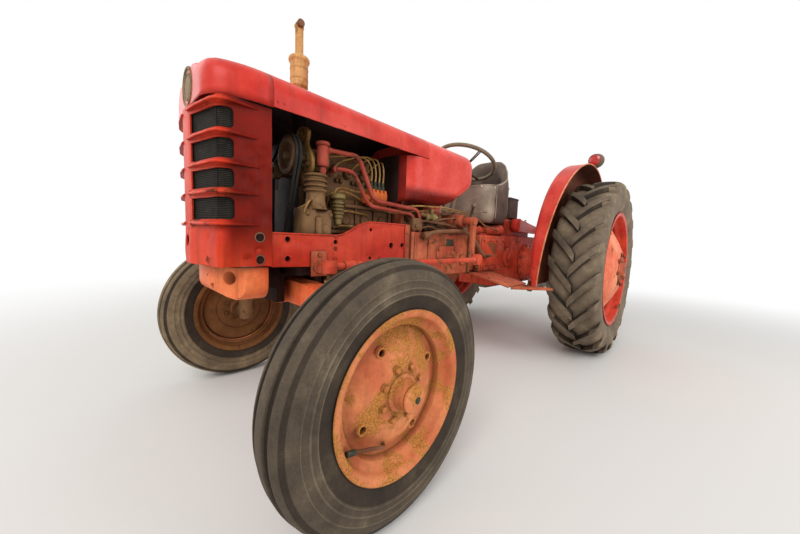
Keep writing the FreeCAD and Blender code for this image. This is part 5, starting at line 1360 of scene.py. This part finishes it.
# Castings behind the engine
class TRACTOR_OT_gearbox(bpy.types.Operator):
    """Makes the clutch housing and gearbox castings with their bolts, covers and ribs"""
    bl_idname = "tractor.gearbox"
    bl_label = "Gearbox"

    def execute(self, context):
        s = Shape()
        s.copy("gearbox", 7.0, segments=3)
        s.repaint(1, lambda f, c: c.y < 1100)
        for sign in (1, -1):
            way = (sign, 0, 0)
            s.paint = 1
            for z in (610, 660, 710, 760, 800):
                s.bolt((sign * 172, 462, z), (0, -1, 0), 8.0, 7.0)
            for y in (520, 620):
                s.box(sign * 194, sign * 201, y, y + 12, 580, 768, 4.0)
            s.box(sign * 190, sign * 202, 690, 860, 652, 716, 6.0, segments=3)
            for y in (704, 846):
                s.bolt((sign * 202, y, 700), way, 7.0, 5.0)
            s.lathe([(0, 30), (sign * 9, 30), (sign * 11, 26), (sign * 6, 20), (sign * 5, 0)], (sign * 196, 930, 640),
                    steps=36)
            # flange with its bolts, ahead of the transmission
            s.box(sign * 168, sign * 206, 984, 1002, 566, 782, 4.0)
            s.box(sign * 168, sign * 206, 1104, 1124, 560, 788, 4.0)
            for z in (590, 640, 690, 740):
                s.bolt((sign * 190, 984, z), (0, -1, 0), 8.0, 8.0)
                s.bolt((sign * 192, 1104, z), (0, -1, 0), 8.0, 8.0)
            s.paint = 0
            s.box(sign * 196, sign * 210, 1128, 1418, 566, 770, 12.0, segments=4)
            s.box(sign * 205, sign * 214, 1170, 1380, 600, 735, 9.0, segments=4)
            for y in (1150, 1228, 1312, 1396):
                for z in (582, 754):
                    s.bolt((sign * 210, y, z), way, 6.5, 5.0)
            s.box(sign * 120, sign * 168, 1180, 1330, 780, 800, 6.0)
        for y in (660, 740, 820, 960, 1060, 1160, 1260, 1360):
            for sign in (1, -1):
                s.bolt((sign * 104, y, 820), (0, 0, 1), 7.0, 6.0)
        s.box(-70, 70, 1150, 1260, 818, 842, 6.0)
        s.rod((0, 800, 818), (0, 800, 846), 46, steps=40, bevel=5)
        # a bare label, and the steering box cover with its stub
        s.paint = 2
        s.box(195, 197.5, 776, 840, 714, 752, 1.0)
        s.paint = 1
        s.box(184, 196, 846, 914, 790, 880, 4.0)
        for y, z in ((854, 800), (906, 800), (854, 872), (906, 872)):
            s.bolt((196, y, z), (1, 0, 0), 5.5, 4.0)
        s.lathe([(150, 40), (200, 38), (216, 36), (232, 36), (235, 32), (235, 22.2)], (0, 880, 852), steps=36)
        s.piece("gearbox_casting", ["red_enamel_cast", "rusty_red_casting", "dark_fitting"], "chassis", "red_casting",
                ["gearbox"])
        # fittings between the tank and the gearbox: finish, both ends, radius, steps and rounding of each rod
        s = Shape()
        for s.paint, p, q, r, steps, bevel in ((0, (188, 560, 868), (188, 604, 862), 13, 6, 2),
                                               (0, (150, 600, 812), (150, 690, 812), 26, 28, 5),
                                               (0, (150, 690, 812), (150, 704, 812), 18, 24, 3),
                                               (0, (176, 610, 790), (176, 640, 830), 10, 18, 2),
                                               (0, (168, 740, 840), (168, 740, 876), 9, 18, 2),
                                               (0, (150, 1010, 800), (168, 1010, 850), 16, 20, 3),
                                               (0, (158, 500, 840), (158, 560, 862), 20, 24, 4),
                                               (0, (130, 560, 820), (130, 560, 900), 14, 20, 3),
                                               (2, (120, 1180, 800), (160, 1200, 830), 26, 28, 8),
                                               (3, (184, 656, 872), (184, 656, 900), 10, 18, 2)):
            s.rod(p, q, r, steps=steps, bevel=bevel)
        s.lathe([(600, 0), (600, 17), (612, 20), (622, 20), (626, 15), (640, 15), (644, 22), (672, 22), (676, 16),
                 (694, 14), (694, 0)], (184, 0, 856), axis="y", steps=36)
        s.paint = 0
        s.box(158, 199.5, 506, 576, 786, 846, 9.0, segments=3)
        s.bolt((199.5, 522, 806), (1, 0, 0), 7.0, 5.0)
        s.box(120, 176, 720, 800, 782, 846, 7.0, segments=3)
        s.box(130, 186, 936, 996, 800, 852, 6.0, segments=3)
        s.ball((170, 1010, 850), 24)
        s.paint = 2
        s.rod((140, 1250, 812), (150, 1400, 822), 34, 40, steps=32, bevel=10)
        s.ball((152, 1420, 826), 44)
        s.paint = 1
        for line in ([(207, 1020, 880), (207, 1060, 878), (200, 1150, 846), (196, 1340, 820)],
                     [(186, 640, 824), (204, 700, 850), (200, 840, 868), (206, 960, 850), (204, 1060, 800)],
                     [(186, 520, 830), (196, 600, 836), (206, 760, 826), (207, 900, 812)],
                     [(160, 700, 812), (176, 740, 822), (186, 860, 838), (170, 960, 800)],
                     [(150, 640, 840), (160, 680, 880), (176, 800, 890), (150, 900, 900)],
                     [(190, 575, 800), (196, 620, 812), (190, 700, 800), (196, 820, 776)],
                     [(140, 760, 846), (150, 780, 892), (120, 860, 905)]):
            s.pipe(line, 5.0, bend=26, sides=10)
        s.piece("side_fittings", ["oily_cast_iron", "brown_pedal_iron", "red_enamel_cast", "olive_cast_iron"],
                "chassis", "rusty_casting")
        return {"FINISHED"}


class TRACTOR_OT_rear_axle(bpy.types.Operator):
    """Makes the rear axle, the lift housing, its arms and the linkage"""
    bl_idname = "tractor.rear_axle"
    bl_label = "Rear axle and lift"

    def execute(self, context):
        s = Shape()
        s.copy("rear_axle", 6.0, segments=3)
        for sign in (1, -1):
            for y, z in around(10, 82, 0, REAR_Y, REAR_Z):
                s.bolt((sign * 428, y, z), (-sign, 0, 0), 8.0, 8.0)
            s.lathe([(sign * x, r) for x, r in ((136, 0), (136, 148), (146, 150), (150, 146), (152, 128), (172, 124),
                                                (200, 112), (240, 98), (300, 86), (428, 74), (428, 0))],
                    (0, REAR_Y, REAR_Z), steps=56)
            for y, z in around(12, 138, 10, REAR_Y, REAR_Z):
                s.bolt((sign * 150, y, z), (sign, 0, 0), 8.0, 7.0)
            s.rod((sign * 136, 1620, 640), (sign * 156, 1620, 640), 74, 66, steps=48, bevel=8)
            s.rod((sign * 154, 1620, 640), (sign * 164, 1620, 640), 30, steps=32, bevel=4)
            s.rod((sign * 120, 1500, 760), (sign * 150, 1540, 772), 40, 30, steps=32, bevel=10)
        s.lathe([(2128, 60), (2140, 58), (2143, 50), (2143, 20)], (0, 0, 600), axis="y", steps=40)
        s.piece("rear_axle_casting", ["red_enamel_cast"], "chassis", "red_casting", ["rear_axle"])
        s = Shape()
        s.copy("lift_housing", 8.0, segments=3)
        s.rod((60, 1590, 928), (60, 1590, 944), 20, steps=24, bevel=3)
        for y in (1580, 1700, 1860, 1980):
            for x in (-110, 110):
                s.bolt((x, y, 930), (0, 0, 1), 8.0, 8.0)
        s.piece("lift_housing_casting", ["red_enamel_cast"], "chassis", "red_casting", ["lift_housing"])
        for nodes, finish, body, slot, bevel in (("lift_arms", "red_enamel_sheet", "lift_arms", "red_paint", 8.0),
                                                 ("lift_rods", "dull_steel", "lift_rods", "steel", 1.5),
                                                 ("lower_links", "dull_steel", "lower_links", "steel", 2.0),
                                                 ("drawbar", "dull_steel", "chassis", "steel", 2.0),
                                                 ("power_shaft", "dull_steel", "chassis", "steel", 1.0)):
            s = Shape()
            s.copy(nodes, bevel)
            if nodes == "lift_rods":
                for sign in (1, -1):
                    s.rod((sign * 193, 2158, 742), (sign * 193, 2180, 664), 15, steps=6, bevel=2)
            s.piece(nodes + "_dressed", [finish], body, slot, [nodes])
        return {"FINISHED"}


class TRACTOR_OT_front_axle(bpy.types.Operator):
    """Makes the front axle, the knuckles and the steering links"""
    bl_idname = "tractor.front_axle"
    bl_label = "Front axle and steering links"

    def execute(self, context):
        for name, finish, body, slot, bevel in (
                ("front_axle", "orange_enamel_cast", "chassis", "orange_paint", 5.0),
                ("knuckle_left", "oily_cast_iron", "knuckle_left", "orange_paint", 2.0),
                ("knuckle_right", "oily_cast_iron", "knuckle_right", "orange_paint", 2.0),
                ("tie_rod", "dull_steel", "tie_rod", "steel", 2.0),
                ("drag_link", "red_enamel_cast", "drag_link", "red_paint", 1.5),
                ("drop_arm", "rusty_red_casting", "drop_arm", "red_paint", 2.0)):
            s = Shape()
            s.copy(name, bevel, segments=3)
            if name == "front_axle":
                for sign in (1, -1):
                    for k in range(3):
                        s.bolt((sign * (250 + 60 * k), -34, 516), (0, -1, 0), 9.0, 8.0)
                    s.rod((sign * 480, -36, 520), (sign * 480, -44, 520), 8, steps=16, bevel=2)
            if name == "drag_link":
                s.rod((339, 22, 650), (337, 74, 650), 17, steps=24, bevel=3)
                s.rod((338, 70, 650), (338, 96, 650), 15, steps=6, bevel=2)
            s.piece(name + "_dressed", [finish], body, slot, [name])
        return {"FINISHED"}


# Driver's place
class TRACTOR_OT_fenders(bpy.types.Operator):
    """Makes the rear fenders with their rolled edges and braces, and the rear lamps"""
    bl_idname = "tractor.fenders"
    bl_label = "Fenders and lamps"

    def execute(self, context):
        r, x0, x1, high = 695.0, 445.0, 600.0, REAR_Z + 25.0
        outer = [(x0, 455), (x0, 560), (x0, r - 36)]
        outer += [(x0 + 32 - 32 * math.cos(math.radians(a)), r - 32 + 32 * math.sin(math.radians(a)))
                  for a in range(10, 91, 10)] + [(x0 + 80, r - 1.3), (x1, r - 4)]
        # the fender's open edge passes through (edge_x, edge_z) and leans out
        edge_x, edge_z, lean = 492.0, 493.0, 86.0 / 832.0
        for side, sign in SIDES:
            s = Shape()
            s.lathe(outer, (0, REAR_Y, high), steps=90, angle=-150.0, start=100.0)
            # cut slanting, so that it is wider at the top than near the ground
            bmesh.ops.bisect_plane(s.bm, geom=s.bm.verts[:] + s.bm.edges[:] + s.bm.faces[:],
                                   plane_co=(edge_x, REAR_Y, edge_z), plane_no=(1.0, 0.0, -lean),
                                   clear_outer=True)
            s.face_up()
            s.thicken(3.6)
            s.line_with(2, (470.0, REAR_Y, high))
            s.repaint(2, lambda f, c: f.normal.x > 0.5 and c.x < x0 + 6)
            # a bead along the cut edge, a brace and the plate inside
            bead = []
            for k in range(61):
                a = math.radians(-10.0 + 2.5 * k)
                z = high + (r - 3.0) * math.sin(a)
                bead.append(Vector((edge_x + lean * (z - edge_z) - 2.0, REAR_Y - (r - 3.0) * math.cos(a), z)))
            # the bead is painted pale: a painted highlight along the edge
            s.paint = 3
            s.pipe(bead, 4.5, bend=2.0, sides=8)
            s.paint = 2
            plate = [(-200, -100), (-636, -96), (-520, 75), (-335, 450), (170, 520), (370, 370), (140, -100)]
            s.plate([(REAR_Y + y, REAR_Z + z) for y, z in plate], "x", x0 + 0.3, x0 + 4, 1.0)
            s.repaint(0, lambda f, c: f.normal.x < -0.5 and c.x < x0 + 1)
            s.pipe([(x0 + 4, REAR_Y - 520, REAR_Z + 320), (x0 + 30, REAR_Y - 585, REAR_Z + 330),
                    (x0 + 62, REAR_Y - 606, REAR_Z + 335)], 6, sides=10)
            s.plate([(REAR_Y - 693, REAR_Z - 96), (REAR_Y - 640, REAR_Z - 96), (REAR_Y - 646, REAR_Z - 66),
                     (REAR_Y - 694, REAR_Z - 60)], "x", x0 - 1, x0 + 5, 1.0)
            for a in (8, 20, 60, 100, 135):
                t = math.radians(a)
                s.bolt((x0, REAR_Y - 590 * math.cos(t), high + 590 * math.sin(t)), (-1, 0, 0), 7.0, 5.0)
            s.sided(sign).piece("fender_sheet_" + side,
                                ["red_enamel_sheet", "dull_steel", "rusty_underside", "faded_rim_paint"], "chassis",
                                "red_paint", ["fenders"] if side == "left" else [])
            # rear lamp on its stalk
            s = Shape()
            lx, ly, lz = 560.0, REAR_Y + 109.0, REAR_Z + 775.0
            s.rod((lx, ly - 6, high + r * 0.985), (lx, ly - 6, lz - 40), 8, steps=20, bevel=1)
            s.rod((lx - 16, ly - 6, lz - 62), (lx + 12, ly - 6, lz - 62), 6, steps=14, bevel=1)
            s.lathe([(-40, 0), (-40, 38), (-38, 42), (-33, 43), (-28, 42), (0, 51), (8, 52), (22, 46), (36, 34),
                     (43, 20), (44, 0)], (lx, ly, lz), axis="y", steps=48)
            s.paint = 1
            s.lathe([(-40, 36), (-43, 35), (-46, 28), (-48, 16), (-48.6, 0)], (lx, ly, lz), axis="y", steps=40)
            s.sided(sign).piece("rear_lamp_" + side + "_set", ["lamp_housing", "red_lens"], "chassis", "red_paint",
                                ["rear_lamps"] if side == "left" else [])
        return {"FINISHED"}


class TRACTOR_OT_foot_plates(bpy.types.Operator):
    """Makes the foot plates and their outer bars"""
    bl_idname = "tractor.foot_plates"
    bl_label = "Foot plates"

    def execute(self, context):
        s = Shape()
        s.copy("foot_plates", 1.6)
        for sign in (1, -1):
            for y in (1060, 1260):
                s.bolt((sign * 300, y, 538), (sign * 0.22, 0, 1), 7.0, 5.0)
            for k in range(6):
                x = sign * (240 + 30 * k)
                z = 552.3 - (abs(x) - 204) * 0.23
                s.rod((x, 1046, z), (x, 1272, z), 2.4, steps=8)
        s.piece("foot_plates_dressed", ["rusty_red_casting"], "chassis", "red_paint", ["foot_plates"])
        return {"FINISHED"}


SEAT_Y0, SEAT_Z, SEAT_FLOOR = 1180.0, 870.0, 990.0
RIM_SIDE = ((0, 1104), (80, 1108), (150, 1120), (230, 1152), (300, 1208), (360, 1278), (405, 1330), (440, 1330))
RIM_FRONT = ((0, 1330), (70, 1328), (112, 1312), (152, 1272), (180, 1216), (200, 1150))


def between(table, x):
    """The value at x in a table of (x, value) stops."""
    for (x0, v0), (x1, v1) in zip(table, table[1:]):
        if x <= x1:
            return v0 + (v1 - v0) * max(0.0, x - x0) / (x1 - x0)
    return table[-1][1]


def tub_outline(w, front, back, r=62.0):
    """A closed plan outline: a straight front with rounded corners and a half round back."""
    centre = back - w
    right = [((w - r) * k / 7.0, front) for k in range(7)]
    for k in range(7):
        a = math.radians(15.0 * k)
        right.append((w - r + r * math.sin(a), front + r - r * math.cos(a)))
    right += [(w, front + r + (centre - front - r) * k / 5.0) for k in range(1, 5)]
    for k in range(13):
        a = math.radians(7.5 * k)
        right.append((w * math.cos(a), centre + w * math.sin(a)))
    return right + other_side(right[1:-1])


def rim_height(x, y):
    """How high the tub's rim stands at a place of its plan."""
    return min(between(RIM_SIDE, y - SEAT_Y0), between(RIM_FRONT, abs(x)))


class TRACTOR_OT_seat(bpy.types.Operator):
    """Makes the padded tub seat, its bracket and the box behind it"""
    bl_idname = "tractor.seat"
    bl_label = "Seat"

    def execute(self, context):
        y1 = SEAT_Y0 + 428.0
        outer = tub_outline(199, SEAT_Y0 + 1, y1 - 1)
        inner = tub_outline(167, SEAT_Y0 + 33, y1 - 33, 34.0)

        lean, lean_from, middle = 0.28, 1115.0, 1390.0

        def leaned(shape):
            """The back's top comes forward a little."""
            for v in shape.bm.verts:
                v.co.y -= lean * max(0.0, v.co.z - lean_from)

        # shell: tucked in underneath, with creases pulled towards its rivets
        s = Shape()
        rings = []
        for z, pull in ((SEAT_Z, 0.80), (SEAT_Z + 6, 0.87), (SEAT_Z + 18, 0.93), (SEAT_Z + 40, 0.972),
                        (SEAT_Z + 80, 1.0), (SEAT_Z + 130, 1.0)):
            # the back is pulled in a little more than the sides
            rings.append([Vector((x * pull, middle + (y - middle) *
                                  (pull - (0.03 if y > 1480 and z < SEAT_Z + 60 else 0)), z)) for x, y in outer])
        for share in [0.15 * k for k in range(1, 7)] + [0.97]:
            rings.append([Vector((x * (1.0 + 0.012 * math.sin(3.1 * share)), y,
                                  SEAT_Z + 130 + (rim_height(x, y) - 12 - SEAT_Z - 130) * share)) for x, y in outer])
        rings.append([Vector((x * 0.985, y - 2, rim_height(x, y) - 6)) for x, y in outer])
        rings.append([Vector((x, y, rim_height(xo, yo) - 8)) for (x, y), (xo, yo) in zip(inner, outer)])
        rings.append([Vector((x, y, SEAT_FLOOR - 20)) for x, y in inner])
        s.loft(rings)
        s.dent([(90, 1180, 1060, 40, 6), (130, 1182, 1020, 44, -4), (70, 1180, 1010, 60, 5), (150, 1195, 960, 50, 4),
                (-90, 1180, 1000, 60, 6), (200, 1300, 1010, 60, 6), (200, 1385, 1060, 50, 5), (200, 1240, 1060, 44, -4),
                (200, 1340, 940, 46, 5), (150, 1535, 1050, 60, 5), (190, 1470, 980, 50, -5), (-200, 1330, 1000, 70, 6)])
        # dark inside the tub and on its back half, pale at the front: partly two tones of vinyl, partly painted light
        # on the front and painted shade on the sides, back and inside
        s.line_with(1, (0.0, middle, None))
        s.repaint(1, lambda f, c: c.y > 1288)
        leaned(s)
        s.piece("seat_shell", ["seat_vinyl_pale_and_lit", "seat_vinyl_dark_and_shaded"], "chassis", "seat_vinyl", ["seat"], smooth=70)
        # pale piping along the rim, and the rivets
        s = Shape()
        s.pipe([Vector((x * 0.992, y, rim_height(x, y) - 5)) for x, y in outer[::2] + outer[:1]], 4.5, bend=12,
               sides=10)
        for sign in (1, -1):
            s.pipe([(sign * 199, 1288, 1112), (sign * 199.5, 1288, 1010), (sign * 199, 1290, 950),
                    (sign * 192, 1298, 900)], 3.5, bend=30, sides=8)
        s.paint = 1
        for place in ((200, 1262, 1090), (150, 1182, 1092), (176, 1500, 1118), (-200, 1262, 1090),
                      (-150, 1182, 1092)):
            s.ball(place, 7, steps=12)
        leaned(s)
        s.piece("seat_piping", ["seat_vinyl_pale_and_lit", "pale_rivet"], "chassis", "seat_vinyl")
        # padded back and sides, thick at the middle of the back
        s = Shape()
        rings = []
        for (xo, yo), (xi, yi) in zip(outer, inner):
            if yi < SEAT_Y0 + 90:
                continue
            h = rim_height(xo, yo)
            deep = 14.0 + 26.0 * max(0.0, (yi - 1440.0) / 130.0)
            way = Vector((xi, yi - 1400.0 if yi > 1408 else 0.0, 0)).normalized()
            ring = []
            for share, z in ((0.0, h - 34), (-0.35, h - 10), (0.2, h - 4), (0.8, h - 14), (1.05, h - 40),
                             (1.1, (h * 2 + SEAT_FLOOR) / 3), (1.0, (h + SEAT_FLOOR * 2) / 3), (0.9, SEAT_FLOOR + 16),
                             (0.4, SEAT_FLOOR + 6), (0.0, SEAT_FLOOR + 10)):
                p = Vector((xi, yi, 0)) - way * deep * share
                ring.append(Vector((p.x, p.y, z)))
            rings.append(ring)
        s.loft(rings)
        leaned(s)
        pad = s.piece("seat_back_pad", ["seat_vinyl_dark_and_shaded"], "chassis", "seat_vinyl", smooth=80, subdivide=1)
        # seat cushion: crowned, with its sides pulled in
        s = Shape()
        plan = tub_outline(150, SEAT_Y0 + 40, y1 - 60, 40.0)
        rings = []
        for share, z in ((0.90, 2), (0.985, 8), (1.0, 24), (0.97, 40), (0.86, 50), (0.6, 56), (0.3, 58)):
            rings.append([Vector((x * share, 1340 + (y - 1340) * share, SEAT_FLOOR + z)) for x, y in plan])
        s.loft(rings)
        pad = s.piece("seat_cushion", ["seat_vinyl_dark_and_shaded"], "chassis", "seat_vinyl", smooth=80, subdivide=1)
        s = Shape()
        s.copy("seat_bracket", 4.0)
        for sign in (1, -1):
            s.bolt((sign * 50, 1320, 840), (0, 0, 1), 7.0, 6.0)
        s.piece("seat_bracket_dressed", ["red_enamel_cast"], "chassis", "red_casting", ["seat_bracket"])
        s = Shape()
        s.copy("box_behind_seat", 5.0, segments=3)
        s.box(-131, 131, 1637, 1783, 1070, 1082, 2.0)
        s.box(-50, 50, 1634, 1642, 1040, 1066, 2.0)
        s.piece("tool_box", ["dark_sheet"], "chassis", "steel", ["box_behind_seat"])
        return {"FINISHED"}


class TRACTOR_OT_steering(bpy.types.Operator):
    """Makes the steering wheel and its column"""
    bl_idname = "tractor.steering"
    bl_label = "Steering wheel and column"

    def execute(self, context):
        radius = sizes().steering_wheel_radius * 1000.0
        lean = Matrix.Translation((0, 1210, 1258)) @ Matrix.Rotation(math.radians(-22.5), 4, "X")
        s = Shape()
        part = Shape()
        part.lathe([(12 * math.sin(math.radians(t)), radius + 12 * math.cos(math.radians(t)))
                    for t in range(0, 360, 24)], (0, 0, 0), axis="z", steps=120, closed=True)
        part.paint = 1
        for k in range(3):
            a = math.radians(90 + 120 * k)
            for turn in (-0.05, 0.05):
                part.pipe([(26 * math.cos(a + turn * 3), 26 * math.sin(a + turn * 3), -24),
                           (90 * math.cos(a + turn), 90 * math.sin(a + turn), -22),
                           (radius * math.cos(a + turn * 0.6), radius * math.sin(a + turn * 0.6), -2)], 4.5,
                          bend=40, sides=10)
        part.lathe([(-56, 10.3), (-56, 22), (-50, 28), (-30, 30), (-18, 30), (-13, 27), (-12, 0)], (0, 0, 0),
                   axis="z", steps=40)
        bmesh.ops.transform(part.bm, matrix=lean, verts=part.bm.verts)
        part.piece("steering_wheel_ring", ["hard_rubber_rim", "dull_steel"], "steering_wheel", "wheel_plastic",
                   ["steering_wheel"], smooth=50)
        s.copy("steering_column", 2.0)
        s.piece("steering_column_dressed", ["dull_steel"], "chassis", "steel", ["steering_column"])
        return {"FINISHED"}


class TRACTOR_OT_levers(bpy.types.Operator):
    """Makes the pedal and the hand levers"""
    bl_idname = "tractor.levers"
    bl_label = "Pedal and levers"

    def execute(self, context):
        s = Shape()
        s.pipe([(217, 560, 762), (222, 640, 786), (226, 860, 800), (234, 960, 780), (244, 1060, 680),
                (246, 1100, 658), (246, 1162, 664)], 11, bend=60, sides=16)
        s.rod((196, 575, 764), (226, 575, 764), 15, steps=28, bevel=3)
        s.rod((216, 560, 762), (226, 590, 768), 19, steps=24, bevel=4)
        s.box(212, 280, 1098, 1150, 662, 670, 3.0)
        s.paint = 1
        s.pipe([(150, 1030, 770.2), (150, 1030, 810), (165, 1050, 900), (200, 1020, 950)], 8, bend=30, sides=14)
        s.ball((200, 1020, 952), 15)
        s.pipe([(-95, 1090, 820.2), (-95, 1090, 850), (-95, 1130, 1000)], 8, bend=20, sides=14)
        s.ball((-95, 1132, 1004), 17)
        # thin brown hand lever beside the seat
        s.pipe([(205, 1010, 905), (206, 1110, 925), (206, 1160, 926)], 4.5, bend=20, sides=10)
        s.piece("pedal_and_levers", ["brown_pedal_iron", "dull_steel"], "chassis", "steel", ["levers_and_pedals"])
        return {"FINISHED"}


# The stage
CAMERA_PLACE = (1.1575, -1.7607, 0.7406)
CAMERA_YAW, CAMERA_PITCH, CAMERA_ROLL = 0.7748, 0.0892, 0.0351
CAMERA_LENS = 13.69


class TRACTOR_OT_stage(bpy.types.Operator):
    """Makes the floor, the lamps, the pale surroundings and the camera"""
    bl_idname = "tractor.stage"
    bl_label = "Stage"

    @staticmethod
    def seen(tree):
        """One for rays from the camera, from gloss and through glass, else zero."""
        ray = node(tree, "LightPath").outputs
        return maths(tree, "MAXIMUM", maths(tree, "MAXIMUM", ray["Is Camera Ray"], ray["Is Glossy Ray"]),
                     ray["Is Transmission Ray"])

    def execute(self, context):
        scene = context.scene
        part = bmesh.new()
        bmesh.ops.create_grid(part, x_segments=1, y_segments=1, size=60.0)
        mesh = bpy.data.meshes.new("floor")
        part.to_mesh(mesh)
        part.free()
        tree, where = new_finish("pale_floor")
        level = span(tree, clouds(tree, where, 3.0, 3.0), 0.75, 0.95)
        shader = node(tree, "BsdfPrincipled", {"Base Color": sizes().floor_colour[:], "Specular IOR Level": 0.0,
                                               "Roughness": level})
        # further out the floor turns into the white of the surroundings
        far = node(tree, "VectorMath", {"operation": "LENGTH", 0: where}).outputs["Value"]
        far = span(tree, far, 0.0, 1.0, 2.0, 5.5, "SMOOTHSTEP")
        white = node(tree, "Emission", {"Color": (1.0, 1.0, 1.0, 1.0), "Strength": 1.0})
        both = node(tree, "MixShader", {0: maths(tree, "MULTIPLY", far, self.seen(tree)), 1: shader.outputs[0],
                                        2: white.outputs[0]})
        node(tree, "OutputMaterial", {"Surface": both.outputs[0]})
        mesh.materials.append(FINISH["pale_floor"])
        floor = bpy.data.objects.new("floor", mesh)
        scene.collection.objects.link(floor)
        # the surroundings are white to the camera and dimmer as a light
        world = bpy.data.worlds.new("pale_surroundings")
        world.use_nodes = True
        tree = world.node_tree
        tree.nodes.clear()
        light = node(tree, "Background", {"Color": (1.0, 1.0, 1.0, 1.0),
                                          "Strength": span(tree, self.seen(tree), 0.62, 1.0, 0.0, 1.0)})
        node(tree, "OutputWorld", {"Surface": light.outputs[0]})
        scene.world = world
        # place, aim, size and power of each soft lamp
        for name, place, aim, size, power in (("key", (2.2, -4.4, 4.4), (0.0, -0.4, 0.6), 3.0, 145.0),
                                              ("fill", (-4.0, -3.0, 3.0), (0.0, 0.0, 0.6), 3.5, 50.0),
                                              ("low", (3.6, 0.6, 2.2), (0.1, 0.0, 0.7), 2.4, 40.0)):
            lamp = bpy.data.lights.new(name, "AREA")
            lamp.energy = power
            lamp.size = size
            made = bpy.data.objects.new(name, lamp)
            made.location = place
            made.rotation_euler = (Vector(aim) - Vector(place)).to_track_quat("-Z", "Y").to_euler()
            scene.collection.objects.link(made)
        lens = bpy.data.cameras.new("camera")
        lens.sensor_width = 36.0
        lens.lens = CAMERA_LENS
        lens.clip_end = 200.0
        camera = bpy.data.objects.new("camera", lens)
        sy, cy, sp, cp = (math.sin(CAMERA_YAW), math.cos(CAMERA_YAW), math.sin(CAMERA_PITCH), math.cos(CAMERA_PITCH))
        ahead = Vector((-sy * cp, cy * cp, -sp))
        right = Vector((cy, sy, 0.0))
        up = right.cross(ahead)
        sr, cr = math.sin(CAMERA_ROLL), math.cos(CAMERA_ROLL)
        side, top = cr * right + sr * up, cr * up - sr * right
        turn = Matrix((side, top, -ahead)).transposed().to_4x4()
        camera.matrix_world = Matrix.Translation(CAMERA_PLACE) @ turn
        scene.collection.objects.link(camera)
        scene.camera = camera
        scene.view_settings.view_transform = "Standard"
        return {"FINISHED"}


OPERATORS = (TRACTOR_OT_finishes, TRACTOR_OT_front_tyres, TRACTOR_OT_front_wheels, TRACTOR_OT_rear_tyres,
             TRACTOR_OT_rear_wheels, TRACTOR_OT_grille, TRACTOR_OT_hood, TRACTOR_OT_tank, TRACTOR_OT_radiator,
             TRACTOR_OT_front_frame, TRACTOR_OT_engine, TRACTOR_OT_belt_drive, TRACTOR_OT_engine_gear,
             TRACTOR_OT_air_pipes, TRACTOR_OT_exhaust, TRACTOR_OT_gearbox, TRACTOR_OT_rear_axle,
             TRACTOR_OT_front_axle, TRACTOR_OT_fenders, TRACTOR_OT_foot_plates, TRACTOR_OT_seat,
             TRACTOR_OT_steering, TRACTOR_OT_levers, TRACTOR_OT_stage)


class TRACTOR_PT_panel(bpy.types.Panel):
    """Lists the tractor's sizes and pieces"""
    bl_idname = "TRACTOR_PT_panel"
    bl_label = "Tractor"
    bl_space_type = "VIEW_3D"
    bl_region_type = "UI"
    bl_category = "Tractor"

    def draw(self, context):
        for name in TractorSettings.__annotations__:
            self.layout.prop(context.scene.tractor_settings, name)
        for kind in OPERATORS:
            self.layout.operator(kind.bl_idname)


CLASSES = (TractorSettings, *OPERATORS, TRACTOR_PT_panel)


def register():
    for kind in CLASSES:
        bpy.utils.register_class(kind)
    bpy.types.Scene.tractor_settings = bpy.props.PointerProperty(type=TractorSettings)


def unregister():
    del bpy.types.Scene.tractor_settings
    for kind in reversed(CLASSES):
        bpy.utils.unregister_class(kind)


def main():
    register()
    for kind in OPERATORS:
        group, name = kind.bl_idname.split(".")
        getattr(getattr(bpy.ops, group), name)()
    bpy.context.view_layer.update()


if __name__ == "__main__":
    main()
